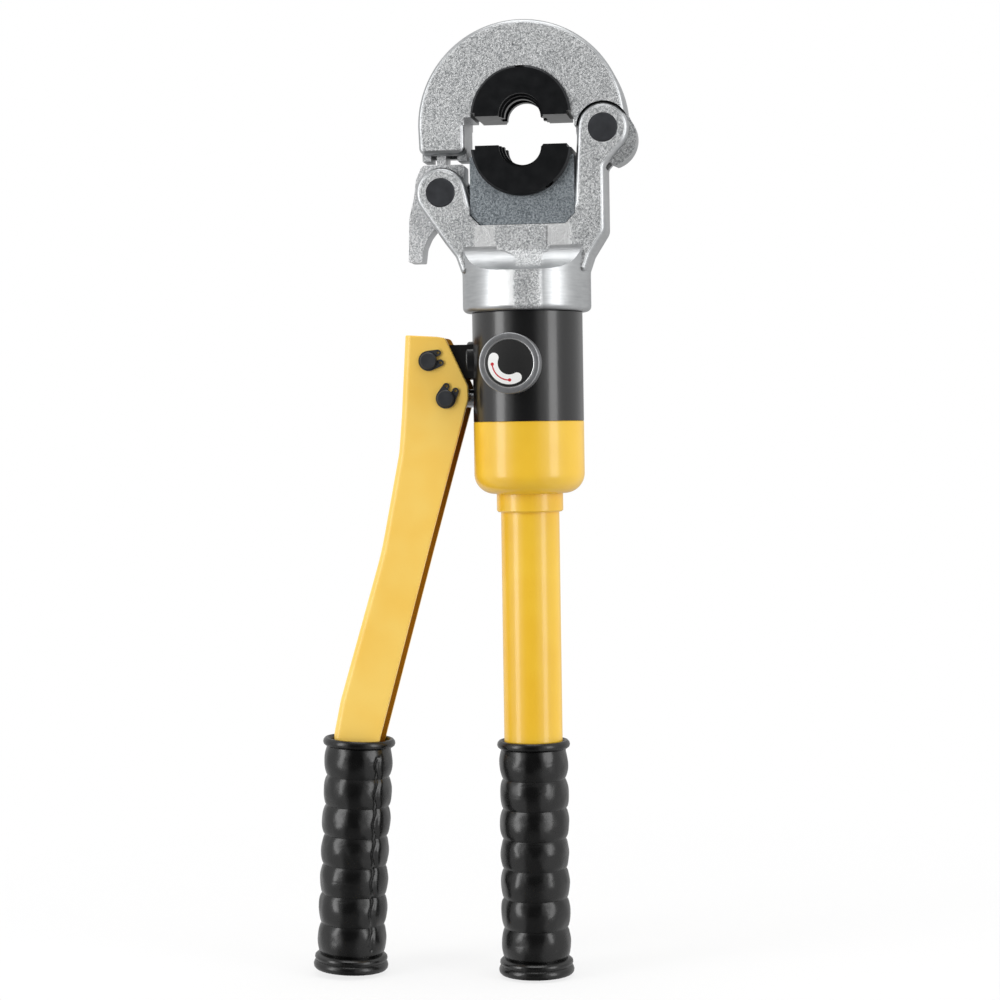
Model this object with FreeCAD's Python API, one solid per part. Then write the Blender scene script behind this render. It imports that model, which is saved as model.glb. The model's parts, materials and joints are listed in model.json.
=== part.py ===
import FreeCAD, Part
import math
import os

# Manual hydraulic pipe-fitting press with a flip-open head and round dies.
# Millimetres. +Z runs along the tool's axis, from the bottom face of the fixed grip (z = 0)
# to the head. -Y is the front, where the release knob is. +X is the side of the head's hinge
# and -X is the side of the pump lever.

V = FreeCAD.Vector
X_AXIS, Y_AXIS, Z_AXIS = V(1, 0, 0), V(0, 1, 0), V(0, 0, 1)

# ---------------------------------------------------------------- driving dimensions
# overall
GRIP_LENGTH = 128.0           # fixed grip, bottom face to top rim
TUBE_EXPOSED = 125.0          # handle tube seen between the grip and the socket's neck
SOCKET_HEIGHT = 39.5          # yellow socket, from its floor to the black block
BLOCK_HEIGHT = 59.1           # black hydraulic block between the socket and the head
BODY_DIAMETER = 60.5          # black block and yellow socket

# handle
TUBE_DIAMETER = 32.0
TUBE_WALL = 2.5
NECK_WALL = 2.2               # socket's neck round the tube
NECK_HEIGHT = 10.0
TUBE_SEAT = 16.0              # length of tube inside the socket's neck
GRIP_WALL = 2.8               # rubber over the tube, at the crest of a ring
GRIP_RIM_WALL = 4.1
GRIP_FLANGE_WALL = 4.7
GRIP_RINGS = 7
GRIP_RING_DEPTH = 1.1
GRIP_RIM_HEIGHT = 5.0
GRIP_FLANGE_HEIGHT = 9.0
GRIP_FLOOR = 5.0              # closed rubber end under the tube
PUMP_GRIP_LENGTH = 129.0
BLADDER_WALL = 1.5
BLADDER_FLANGE = 3.0
SOCKET_WALL = 4.25
SOCKET_LEDGE = 2.5            # the socket's bore is this much smaller below the block
SOCKET_CORNER = 11.0          # rounding under the socket
PLUG_LENGTH = 9.0

# hydraulics
BORE_DIAMETER = 38.0          # ram cylinder
BORE_FLOOR = 39.5             # bore's bottom above the block's lower edge
SPIGOT_WALL = 6.0             # steel round the bore, which the head turns on
SPIGOT_HEIGHT = 24.4
SCREW_IN_DEPTH = 11.5         # block's lower thread inside the socket
PISTON_HEIGHT = 16.0
SPRING_WIRE = 3.0
ROD_DIAMETER = 20.0
PLUNGER_DIAMETER = 10.0
PASSAGE_DIAMETER = 3.0
BALL_DIAMETER = 4.8
O_RING_WIRE = 2.0
GLAND_WALL = 3.0
GLAND_LENGTH = 6.0
LUG_SPIGOT_RADIUS = 6.8
LUG_BOSS_RADIUS = 10.5
RELIEF_RADIUS = 4.0
FILTER_LENGTH = 8.0
EYE_PLAY = 0.8                # open pivot, between the plunger's eye and its pin
EYE_WALL = 2.6
EYE_TRAVEL = 2.4
EYE_HALF = 5.5
SEAL_DEPTH = 3.0
BOLT_RADIUS = 5.0
BOLT_HEAD_RADIUS = 8.0
BOLT_HEAD_HEIGHT = 6.0
BOLT_REACH = 25.0             # bolt's tip below the pocket's floor

# head
COLLAR_WALL = 10.2
COLLAR_HEIGHT = 25.0
POCKET_ABOVE_COLLAR = 22.0    # collar's top edge to the floor of the ram's pocket
HEAD_THICKNESS = 34.0         # fork and upper jaw, front to back
TONGUE_THICKNESS = 16.4       # middle layer that turns between the ears
DIE_RADIUS = 27.4
DIE_DEPTH = 38.0
DIE_BORE_RADIUS = 10.0
DIE_GAP = 15.8                # between the two dies at rest
DIE_CHEEK = 1.1               # ram block beside the die
RAM_FLOOR = 15.6              # ram block under the die
HEAD_PIN_DIAMETER = 16.0
EAR_WALL = 5.9                # forging round a head pin
HUB_WALL = 4.0                # latch round its pin
HINGE_ABOVE_FACE = 8.3        # hinge pin over the lower die's parting face
LATCH_BELOW_FACE = 24.6
HINGE_INSET, LATCH_INSET = 1.6, 1.9     # pocket wall to the nearest point of each ear
JAW_WALL = 29.3               # round the upper die
JAW_DROP = 4.0                # jaw's centre below the upper die's parting face
THROAT_SIDE = 3.6             # free leg's inner face beyond the die
JAW_OPENING_ANGLE = 65.0
PANEL_LEFT, PANEL_RIGHT = -14.0, 12.8   # grainy panel on the neck
FLARE_HEIGHT = 14.0           # collar to the flat of the fork
PANEL_PROUD = 1.0
LEG_FILLET = 3.0
JAW_FILLET = 2.8
POCKET_CHAMFER = 5.5
LOBE_WALL = 7.7               # knuckle's outer lobe round its pin
LOBE_SHIFT_X, LOBE_SHIFT_Z = 1.9, 4.7
EAR_CLEAR = 0.5
DETENT_RADIUS = 2.5
DETENT_DEPTH = 12.0
DETENT_PROUD = 0.9
LOWER_DETENT_ANGLE = 145.0
SWIVEL_RING = 2.6
LATCH_WIRE = 1.0

# pump lever
LEVER_WIDTH = 23.0            # across the two flanges
LEVER_WALL = 2.5
LEVER_BEND = 4.0              # outside of the bend between web and flange
LEVER_EDGE = 0.7
PIVOT_OUT, PIVOT_HEIGHT = 23.05, 33.7   # upper pin from the block, and over its lower edge
DRIVE_OUT, DRIVE_HEIGHT = 13.75, 13.0   # lower pin, which drives the plunger
LEVER_PIN_DIAMETER = 9.2
GRIP_OUT = 43.7               # pump grip's axis at its rim, from the upper pin
GRIP_LEAN = 3.0               # degrees from the tool's axis
TANG_WIDTH = 21.0             # channel inside the grip, across its open side
TANG_END = 12.0               # above the grip's lower end
PIN_PROUD = 2.6
CLIP_THICKNESS = 1.0
CLIP_GROOVE = 0.5
CLIP_WALL = 0.9               # circlip round its pin
CLIP_LUG_OUT, CLIP_LUG_ANGLE = 6.7, 25.0
CLIP_LUG_RADIUS = 1.8

# release knob
KNOB_DIAMETER = 32.5
KNOB_X = -5.0
KNOB_HEIGHT = 30.9            # over the block's lower edge
KNOB_REACH = 12.75            # knob's face in front of the block
STEM_DIAMETER = 8.0
STEM_GROOVE = 1.2
LABEL_RIM = 2.35
LABEL_THICKNESS = 0.6
HUB_DEPTH = 9.0

# clearances
RUNNING = 0.05                # radial, shaft in bore
GAP = 0.3                     # between parts that pass each other

# ---------------------------------------------------------------- places worked out from them
TUBE_RADIUS = TUBE_DIAMETER / 2
TUBE_BORE = TUBE_RADIUS - TUBE_WALL
BODY_RADIUS = BODY_DIAMETER / 2
NECK_RADIUS = TUBE_RADIUS + NECK_WALL
CORNER = min(SOCKET_CORNER, BODY_RADIUS - NECK_RADIUS - 1)
NECK_Z = GRIP_LENGTH + TUBE_EXPOSED
SOCKET_Z = NECK_Z + NECK_HEIGHT
BLOCK_Z = SOCKET_Z + SOCKET_HEIGHT
BLOCK_TOP = BLOCK_Z + BLOCK_HEIGHT
BLOCK_BOTTOM = BLOCK_Z - SCREW_IN_DEPTH
SOCKET_BORE = BODY_RADIUS - SOCKET_WALL
BORE_RADIUS = BORE_DIAMETER / 2
BORE_Z = BLOCK_Z + BORE_FLOOR
SPIGOT_RADIUS = BORE_RADIUS + SPIGOT_WALL
SPIGOT_TOP = BLOCK_TOP + SPIGOT_HEIGHT
LOWER_BORE = SOCKET_BORE - SOCKET_LEDGE
BLADDER_LEDGE = BLOCK_BOTTOM - BLADDER_FLANGE   # pinched between this and the block

COLLAR_Z = BLOCK_TOP + 0.4
COLLAR_RADIUS = SPIGOT_RADIUS + COLLAR_WALL
COLLAR_TOP = COLLAR_Z + COLLAR_HEIGHT
SWIVEL_Z = COLLAR_Z + 10.0              # retaining ring of the head
FLARE_Z = COLLAR_TOP - 3.5
SPRING_RADIUS = ROD_DIAMETER / 2 + 3.4
SPRING_SEAT_RADIUS = SPRING_RADIUS + SPRING_WIRE / 2 + 0.6
SPRING_SEAT_TOP = SPIGOT_TOP + 6.0
POCKET_Z = COLLAR_TOP + POCKET_ABOVE_COLLAR
HEAD_HALF = HEAD_THICKNESS / 2
TONGUE_HALF = TONGUE_THICKNESS / 2
SLOT_HALF = TONGUE_HALF + GAP
LOWER_FACE_Z = POCKET_Z + DIE_RADIUS + RAM_FLOOR
UPPER_FACE_Z = LOWER_FACE_Z + DIE_GAP
DIE_SEAT_RADIUS = DIE_RADIUS + RUNNING
DIE_SEAT_FLOOR = LOWER_FACE_Z - DIE_SEAT_RADIUS
RAM_HALF_WIDTH = DIE_RADIUS + DIE_CHEEK
RAM_HALF_DEPTH = HEAD_HALF - 1.5
POCKET_HALF_WIDTH = RAM_HALF_WIDTH + GAP
PIN_RADIUS = HEAD_PIN_DIAMETER / 2
EAR_RADIUS = PIN_RADIUS + EAR_WALL
LATCH_HUB = PIN_RADIUS + HUB_WALL
LATCH_SPRING_RADIUS = PIN_RADIUS + LATCH_WIRE + 0.1
HINGE_X = POCKET_HALF_WIDTH + HINGE_INSET + EAR_RADIUS
HINGE_Z = LOWER_FACE_Z + HINGE_ABOVE_FACE
LATCH_X = -(POCKET_HALF_WIDTH + LATCH_INSET + EAR_RADIUS)
LATCH_Z = LOWER_FACE_Z - LATCH_BELOW_FACE
LOBE_RADIUS = PIN_RADIUS + LOBE_WALL
LOBE_X, LOBE_Z = HINGE_X + LOBE_SHIFT_X, HINGE_Z - LOBE_SHIFT_Z
LOBE_REACH = math.hypot(LOBE_SHIFT_X, LOBE_SHIFT_Z) + LOBE_RADIUS
BOLT_TOP = DIE_SEAT_FLOOR - 0.6
BOLT_TIP_Z = POCKET_Z - BOLT_REACH

JAW_RADIUS = DIE_RADIUS + JAW_WALL
JAW_CENTRE_Z = UPPER_FACE_Z - JAW_DROP
JAW_LEG_OUTER_X = -JAW_RADIUS
JAW_LEG_INNER_X = -(DIE_RADIUS + THROAT_SIDE)
LEG_BOTTOM_Z = LATCH_Z + 20.8           # cheeks of the jaw's free leg
LIP_BOTTOM_Z = LEG_BOTTOM_Z - 2.8
NOSE_UNDER_Z = LATCH_Z + 27.0           # the latch's nose over the lip
NOSE_TOP_Z = NOSE_UNDER_Z + 4.5
LIP_TOP_Z = NOSE_UNDER_Z - 1.9
HOOK_SLOT_LEFT, HOOK_SLOT_RIGHT = LATCH_X - 6.2, LATCH_X + 10.9
LIP_LEFT = LATCH_X + 8.4

PIVOT_X, PIVOT_Z = -(BODY_RADIUS + PIVOT_OUT), BLOCK_Z + PIVOT_HEIGHT
DRIVE_X, DRIVE_Z = -(BODY_RADIUS + DRIVE_OUT), BLOCK_Z + DRIVE_HEIGHT
LEVER_HALF = LEVER_WIDTH / 2
LEVER_INNER = LEVER_HALF - LEVER_WALL
LEVER_PIN_RADIUS = LEVER_PIN_DIAMETER / 2
CLIP_INNER = LEVER_PIN_RADIUS - CLIP_GROOVE
CLIP_OUTER = LEVER_PIN_RADIUS + CLIP_WALL
GRIP_TOP_X, GRIP_TOP_Z = PIVOT_X - GRIP_OUT, PUMP_GRIP_LENGTH
EYE_RADIUS = LEVER_PIN_RADIUS + EYE_PLAY
EYE_REACH = EYE_RADIUS + EYE_WALL + EYE_TRAVEL
KNOB_Z = BLOCK_Z + KNOB_HEIGHT
KNOB_BACK = BODY_RADIUS + 0.4
KNOB_FRONT = BODY_RADIUS + KNOB_REACH
LABEL_RADIUS = KNOB_DIAMETER / 2 - LABEL_RIM
STEM_RADIUS = STEM_DIAMETER / 2
STEM_SEAL_Y = -(BODY_RADIUS - 6.25)
STEM_SEAL_END = STEM_SEAL_Y + 1.6

PASSAGE = PASSAGE_DIAMETER / 2
BALL_RADIUS = BALL_DIAMETER / 2
BALL_BORE = BALL_RADIUS + GAP
PUMP_RADIUS = PLUNGER_DIAMETER / 2 + RUNNING
PUMP_BORE_END = -6.0
GLAND_RADIUS = PLUNGER_DIAMETER / 2 + GLAND_WALL
GLAND_START = -BODY_RADIUS + 1.2
GLAND_END = GLAND_START + GLAND_LENGTH
LUG_SPIGOT_END = -BODY_RADIUS + 9
INLET_X, OUTLET_X, RELIEF_X = -(BODY_RADIUS - 17.25), 3.0, BODY_RADIUS - 16.25
INLET_SEAT_Z = BLOCK_BOTTOM + 4
OUTLET_SEAT_Z = DRIVE_Z + 8
RELIEF_SEAT_Z = BLOCK_BOTTOM + 30
VALVE_Y = -9.0                          # inner end of the release stem
RETURN_Y = -13.0
BODY_SEAL = (BLOCK_Z - 5, BLOCK_Z - 5 + O_RING_WIRE)
SEAL_INNER = BORE_RADIUS - SEAL_DEPTH
SEAL_SPAN = (BORE_Z + 4, BORE_Z + 8)
BACKUP_SPAN = (BORE_Z + 8, BORE_Z + 9.5)
PISTON_Z = BORE_Z + 1
PISTON_TOP = PISTON_Z + PISTON_HEIGHT


# ---------------------------------------------------------------- helpers
def cylinder(radius, start, end, axis, a=0.0, b=0.0):
    """A cylinder along one axis, at (a, b) in the other two, given in X, Y, Z order."""
    if axis == "x":
        return Part.makeCylinder(radius, end - start, V(start, a, b), X_AXIS)
    if axis == "y":
        return Part.makeCylinder(radius, end - start, V(a, start, b), Y_AXIS)
    return Part.makeCylinder(radius, end - start, V(a, b, start), Z_AXIS)


def ring(outer, inner, start, end, axis, a=0.0, b=0.0):
    return cylinder(outer, start, end, axis, a, b).cut(cylinder(inner, start, end, axis, a, b))


def box(x0, x1, y0, y1, z0, z1):
    return Part.makeBox(x1 - x0, y1 - y0, z1 - z0, V(x0, y0, z0))


def ear_arc(before, ear, after):
    """Tangent points and middle of the arc that takes an outline clockwise round an ear."""
    x, z, radius = ear[:3]
    angles = []
    for (px, pz), side in ((before[:2], 1), (after[:2], -1)):
        distance = math.hypot(x - px, z - pz)
        heading = math.atan2(z - pz, x - px) + side * math.asin(radius / distance)
        angles.append(heading + side * math.pi / 2)
    sweep = (angles[0] - angles[1]) % (2 * math.pi)
    return [(x + radius * math.cos(a), z + radius * math.sin(a))
            for a in (angles[0], angles[0] - sweep / 2, angles[1])]


def rounded_wire(corners, y):
    """A closed outline in the XZ plane from corners (x, z, radius), rounded by tangent arcs.

    A corner with a fourth entry is an ear: the outline, which then runs clockwise,
    goes round its circle.
    """
    points = []
    for i, corner in enumerate(corners):
        if len(corner) == 4:
            first, middle, last = ear_arc(corners[i - 1], corner, corners[(i + 1) % len(corners)])
            points.append((first[0], first[1], 0, V(middle[0], y, middle[1])))
            points.append((last[0], last[1], 0, None))
        else:
            points.append((*corner, None))
    count = len(points)
    places = [V(x, y, z) for x, z, radius, bulge in points]
    starts, middles, ends = list(places), [None] * count, list(places)
    for i, (x, z, radius, bulge) in enumerate(points):
        if radius <= 0:
            continue
        back = places[i - 1].sub(places[i]).normalize()
        ahead = places[(i + 1) % count].sub(places[i]).normalize()
        half = back.getAngle(ahead) / 2
        inward = back.add(ahead).normalize()
        centre = places[i].add(inward * (radius / math.sin(half)))
        starts[i] = places[i].add(back * (radius / math.tan(half)))
        ends[i] = places[i].add(ahead * (radius / math.tan(half)))
        middles[i] = centre.sub(inward * radius)
    edges = []
    for i in range(count):
        following = starts[(i + 1) % count]
        if middles[i] is not None:
            edges.append(Part.Arc(starts[i], middles[i], ends[i]).toShape())
        if points[i][3] is not None:
            edges.append(Part.Arc(ends[i], points[i][3], following).toShape())
        elif ends[i].distanceToPoint(following) > 1e-5:
            edges.append(Part.LineSegment(ends[i], following).toShape())
    return Part.Wire(Part.__sortEdges__(edges))


def plate(corners, y0, y1):
    """An outline in XZ, pushed from y0 to y1."""
    return Part.Face(rounded_wire(corners, y0)).extrude(V(0, y1 - y0, 0))


def turned(profile):
    """A solid of revolution about Z from points (radius, z); a third point makes an arc."""
    edges = []
    count = len(profile)
    index = 0
    while index < count:
        here = profile[index]
        ahead = profile[(index + 1) % count]
        if len(ahead) == 3:
            last = profile[(index + 2) % count]
            edges.append(Part.Arc(V(here[0], 0, here[1]), V(ahead[0], 0, ahead[1]),
                                  V(last[0], 0, last[1])).toShape())
            index += 2
        else:
            edges.append(Part.LineSegment(V(here[0], 0, here[1]), V(ahead[0], 0, ahead[1])).toShape())
            index += 1
    return Part.Face(Part.Wire(edges)).revolve(V(0, 0, 0), Z_AXIS, 360)


def coil(mean_radius, wire, length, turns):
    """A helical spring from z = 0 to length, its wire's thickness included."""
    helix = Part.makeHelix((length - wire) / turns, length - wire, mean_radius)
    section = Part.Wire(Part.makeCircle(wire / 2, V(mean_radius, 0, 0), Y_AXIS))
    spring = Part.Wire(helix.Edges).makePipeShell([section], True, True)
    spring.translate(V(0, 0, wire / 2))
    return spring


def edges_on(shape, test):
    """The shape's edges whose middle point passes a test."""
    found = []
    for edge in shape.Edges:
        middle = edge.valueAt((edge.FirstParameter + edge.LastParameter) / 2)
        if test(middle):
            found.append(edge)
    return found


def save(name, shape):
    if hasattr(shape, "removeSplitter"):
        shape = shape.removeSplitter()
    solids = shape.Solids
    result = solids[0] if len(solids) == 1 else Part.makeCompound(solids)
    if not solids or not result.isValid():
        print("BAD", name, len(solids))
    result.exportStep("parts/" + name + ".step")
    print(name, len(solids), round(result.Volume / 1000, 2))


# ---------------------------------------------------------------- handle side
def grip_profile(length):
    """Outline of a rubber grip with a thick flange, rings and a rim; radius against height."""
    flange = TUBE_RADIUS + GRIP_FLANGE_WALL
    crest = TUBE_RADIUS + GRIP_WALL
    rim = TUBE_RADIUS + GRIP_RIM_WALL
    valley = crest - GRIP_RING_DEPTH
    bead = GRIP_FLANGE_HEIGHT / 2
    points = [(0, 0), (flange - 1.5, 0), (flange, bead / 2, "arc"), (flange - 1.2, bead),
              (flange - 0.2, bead * 1.5, "arc"), (valley, GRIP_FLANGE_HEIGHT)]
    pitch = (length - GRIP_FLANGE_HEIGHT - GRIP_RIM_HEIGHT) / GRIP_RINGS
    for index in range(GRIP_RINGS):
        low = GRIP_FLANGE_HEIGHT + pitch * index
        points += [(crest, low + pitch / 2, "arc"), (valley, low + pitch)]
    points += [(rim, length - GRIP_RIM_HEIGHT / 2, "arc"), (rim - 1.5, length), (0, length)]
    return points


def make_fixed_grip():
    grip = turned(grip_profile(GRIP_LENGTH))
    return grip.cut(cylinder(TUBE_RADIUS, GRIP_FLOOR, GRIP_LENGTH + 1, "z"))


def make_handle_tube():
    return ring(TUBE_RADIUS, TUBE_BORE, GRIP_FLOOR, NECK_Z + TUBE_SEAT, "z")


def make_tube_end_plug():
    plug = cylinder(TUBE_BORE, GRIP_FLOOR, GRIP_FLOOR + PLUG_LENGTH, "z")
    return plug.cut(cylinder(PASSAGE, GRIP_FLOOR, GRIP_FLOOR + PLUG_LENGTH, "z"))


def make_handle_socket():
    middle = CORNER * (1 - math.sqrt(0.5))
    outer = turned([(0, NECK_Z), (NECK_RADIUS - 0.8, NECK_Z), (NECK_RADIUS, NECK_Z + 0.8),
                    (NECK_RADIUS, SOCKET_Z - 0.2), (BODY_RADIUS - CORNER, SOCKET_Z),
                    (BODY_RADIUS - middle, SOCKET_Z + middle, "arc"), (BODY_RADIUS, SOCKET_Z + CORNER),
                    (BODY_RADIUS, BLOCK_Z - 0.4), (BODY_RADIUS - 0.4, BLOCK_Z), (0, BLOCK_Z)])
    outer = outer.cut(cylinder(TUBE_RADIUS, NECK_Z - 1, NECK_Z + TUBE_SEAT, "z"))
    outer = outer.cut(cylinder(TUBE_BORE, NECK_Z, BLOCK_Z, "z"))
    taper = Part.makeCone(TUBE_BORE, LOWER_BORE - 2, 8, V(0, 0, NECK_Z + TUBE_SEAT + 2), Z_AXIS)
    outer = outer.cut(taper)
    outer = outer.cut(cylinder(LOWER_BORE - 2, NECK_Z + TUBE_SEAT + 10, BLOCK_Z, "z"))
    return outer.cut(cylinder(SOCKET_BORE, BLADDER_LEDGE, BLOCK_Z + 1, "z"))


def make_oil_bladder():
    bag = TUBE_BORE - 0.5
    mouth = LOWER_BORE - 2.5
    neck = NECK_Z + TUBE_SEAT + 2
    end = GRIP_FLOOR + PLUG_LENGTH + 7
    bag_inner, mouth_inner, end_inner = (v - BLADDER_WALL for v in (bag, mouth, end + 2 * BLADDER_WALL))
    return turned([(0, end), (bag - 4, end), (bag, end + 4), (bag, neck), (mouth, neck + 8.5),
                   (mouth, BLADDER_LEDGE), (SOCKET_BORE, BLADDER_LEDGE), (SOCKET_BORE, BLOCK_BOTTOM),
                   (mouth_inner, BLOCK_BOTTOM), (mouth_inner, neck + 9.2), (bag_inner, neck + 0.7),
                   (bag_inner, end + 5), (bag - 5, end_inner), (0, end_inner)])


# ---------------------------------------------------------------- hydraulic block
def make_cylinder_body():
    block = cylinder(BODY_RADIUS, BLOCK_Z, BLOCK_TOP, "z")
    block = block.fuse(cylinder(SOCKET_BORE, BLOCK_BOTTOM, BLOCK_Z, "z"))
    block = block.fuse(cylinder(SPIGOT_RADIUS, BLOCK_TOP, SPIGOT_TOP, "z"))
    block = block.cut(cylinder(BORE_RADIUS, BORE_Z, SPIGOT_TOP, "z"))
    groove = ring(SPIGOT_RADIUS, SPIGOT_RADIUS - 2, SWIVEL_Z - GAP, SWIVEL_Z + SWIVEL_RING + GAP, "z")
    cuts = [groove, ring(SOCKET_BORE, SOCKET_BORE - O_RING_WIRE, *BODY_SEAL, "z")]
    cuts.append(cylinder(PUMP_RADIUS, -BODY_RADIUS - 1, PUMP_BORE_END, "x", 0, DRIVE_Z))
    cuts.append(cylinder(GLAND_RADIUS, -BODY_RADIUS - 1, GLAND_END + 2, "x", 0, DRIVE_Z))
    cuts.append(cylinder(LUG_SPIGOT_RADIUS, -BODY_RADIUS - 1, LUG_SPIGOT_END, "x", 0, PIVOT_Z))
    cuts.append(cylinder(PASSAGE, BLOCK_BOTTOM, DRIVE_Z, "z", INLET_X, 0))
    cuts.append(cylinder(BALL_BORE, INLET_SEAT_Z, INLET_SEAT_Z + 9, "z", INLET_X, 0))
    cuts.append(cylinder(PASSAGE, DRIVE_Z, BORE_Z, "z", OUTLET_X, 0))
    cuts.append(cylinder(PASSAGE, PUMP_BORE_END - 2, OUTLET_X, "x", 0, DRIVE_Z))
    cuts.append(cylinder(BALL_BORE, OUTLET_SEAT_Z, BORE_Z, "z", OUTLET_X, 0))
    cuts.append(cylinder(RELIEF_RADIUS, BLOCK_BOTTOM, RELIEF_SEAT_Z, "z", RELIEF_X, 0))
    cuts.append(cylinder(PASSAGE, RELIEF_SEAT_Z, BORE_Z, "z", RELIEF_X, 0))
    cuts.append(cylinder(STEM_RADIUS + RUNNING, -BODY_RADIUS - 1, VALVE_Y, "y", KNOB_X, KNOB_Z))
    cuts.append(cylinder(BALL_BORE, VALVE_Y, VALVE_Y + 6, "y", KNOB_X, KNOB_Z))
    cuts.append(cylinder(PASSAGE, KNOB_Z, BORE_Z, "z", KNOB_X, VALVE_Y + 4))
    cuts.append(cylinder(PASSAGE, BLOCK_BOTTOM, KNOB_Z, "z", KNOB_X, RETURN_Y))
    for tool in cuts:
        block = block.cut(tool)
    return block


def make_piston():
    piston = cylinder(BORE_RADIUS - RUNNING, PISTON_Z, PISTON_TOP, "z")
    piston = piston.fuse(cylinder(ROD_DIAMETER / 2, PISTON_Z, POCKET_Z + GAP, "z"))
    for low, high in (SEAL_SPAN, BACKUP_SPAN):
        piston = piston.cut(ring(BORE_RADIUS, SEAL_INNER, low, high, "z"))
    return piston.cut(cylinder(BOLT_RADIUS, BOLT_TIP_Z, POCKET_Z + 1, "z"))


def make_ram_bolt():
    bolt = cylinder(BOLT_HEAD_RADIUS, BOLT_TOP - BOLT_HEAD_HEIGHT, BOLT_TOP, "z")
    bolt = bolt.fuse(cylinder(BOLT_RADIUS, BOLT_TIP_Z, BOLT_TOP, "z"))
    return bolt.cut(hexagon(BOLT_HEAD_RADIUS / 2, BOLT_TOP - 4, BOLT_TOP))


def hexagon(half_flat, z0, z1, x=0.0, y=0.0):
    """A hexagonal prism, for a socket or a nut."""
    reach = half_flat / math.cos(math.radians(30))
    corners = [V(x + reach * math.cos(math.radians(60 * i)), y + reach * math.sin(math.radians(60 * i)), z0)
               for i in range(7)]
    return Part.Face(Part.makePolygon(corners)).extrude(V(0, 0, z1 - z0))


def make_pump_lug():
    half = LEVER_INNER - 0.4
    low = DRIVE_Z + EYE_REACH + 0.5
    nose = PIVOT_X - LEVER_PIN_RADIUS - 3.2
    high = PIVOT_Z + LEVER_PIN_RADIUS + 4.0
    tongue = plate([(0, low, 0), (PIVOT_X + 4, low, 0), (nose, PIVOT_Z - 7.5, 8.0),
                    (nose, high, 8.0), (0, high, 0)], -half, half)
    tongue = tongue.cut(cylinder(BODY_RADIUS, low - 5, high + 5, "z"))
    boss = cylinder(LUG_BOSS_RADIUS, -BODY_RADIUS - 3, -BODY_RADIUS + 7, "x", 0, PIVOT_Z)
    boss = boss.makeFillet(1.2, edges_on(boss, lambda p: p.x < -BODY_RADIUS - 2))
    boss = boss.cut(cylinder(BODY_RADIUS, PIVOT_Z - 20, PIVOT_Z + 20, "z"))
    spigot = cylinder(LUG_SPIGOT_RADIUS, -BODY_RADIUS - 2, LUG_SPIGOT_END, "x", 0, PIVOT_Z)
    lug = tongue.fuse(boss).fuse(spigot)
    return lug.cut(cylinder(LEVER_PIN_RADIUS + RUNNING, -half - 1, half + 1, "y", PIVOT_X, PIVOT_Z))


def obround(radius, travel, half, x, z):
    """A plate with round ends, long in Z."""
    width, height = radius, radius + travel
    return plate([(x - width, z - height, radius * 0.999), (x + width, z - height, radius * 0.999),
                  (x + width, z + height, radius * 0.999), (x - width, z + height, radius * 0.999)],
                 -half, half)


def make_pump_plunger():
    rod = cylinder(PLUNGER_DIAMETER / 2, DRIVE_X + EYE_RADIUS, PUMP_BORE_END - 6, "x", 0, DRIVE_Z)
    eye = obround(EYE_RADIUS + EYE_WALL, EYE_TRAVEL, EYE_HALF, DRIVE_X, DRIVE_Z)
    return rod.fuse(eye).cut(obround(EYE_RADIUS, EYE_TRAVEL, EYE_HALF + 1, DRIVE_X, DRIVE_Z))


def ball(x, y, z):
    return Part.makeSphere(BALL_RADIUS, V(x, y, z))


def small_spring(length, turns, x, z):
    wire = 0.6
    spring = coil(BALL_RADIUS - wire, wire, length, turns)
    spring.translate(V(x, 0, z))
    return spring


def make_valves():
    """Check valves, relief valve, filter and seals of the block."""
    over_ball = BALL_RADIUS + 0.1
    inlet = INLET_SEAT_Z + BALL_RADIUS
    save("inlet_check_ball", ball(INLET_X, 0, inlet))
    save("inlet_check_spring", small_spring(3.6, 3, INLET_X, inlet + over_ball))
    outlet = OUTLET_SEAT_Z + BALL_RADIUS
    save("outlet_check_ball", ball(OUTLET_X, 0, outlet))
    save("outlet_check_spring", small_spring(8.0, 6, OUTLET_X, outlet + over_ball))
    relief = RELIEF_SEAT_Z - BALL_RADIUS
    relief_length = 16.0
    spring_z = relief - over_ball - relief_length
    save("relief_ball", ball(RELIEF_X, 0, relief))
    save("relief_spring", small_spring(relief_length, 10, RELIEF_X, spring_z))
    screw = cylinder(RELIEF_RADIUS, BLOCK_BOTTOM, spring_z - 0.2, "z", RELIEF_X, 0)
    save("relief_screw", screw.cut(hexagon(RELIEF_RADIUS / 2, BLOCK_BOTTOM, BLOCK_BOTTOM + 3, RELIEF_X)))
    save("release_ball", ball(KNOB_X, VALVE_Y + BALL_RADIUS + 0.2, KNOB_Z))
    save("suction_filter", ring(PASSAGE + 3, PASSAGE, BLOCK_BOTTOM - FILTER_LENGTH, BLOCK_BOTTOM,
                                "z", INLET_X, 0))
    save("pump_gland", ring(GLAND_RADIUS, PUMP_RADIUS, GLAND_START, GLAND_END, "x", 0, DRIVE_Z))
    save("plunger_seal", ring(GLAND_RADIUS, PUMP_RADIUS, GLAND_END, GLAND_END + 2, "x", 0, DRIVE_Z))
    save("body_seal", ring(SOCKET_BORE, SOCKET_BORE - O_RING_WIRE, *BODY_SEAL, "z"))


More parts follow.
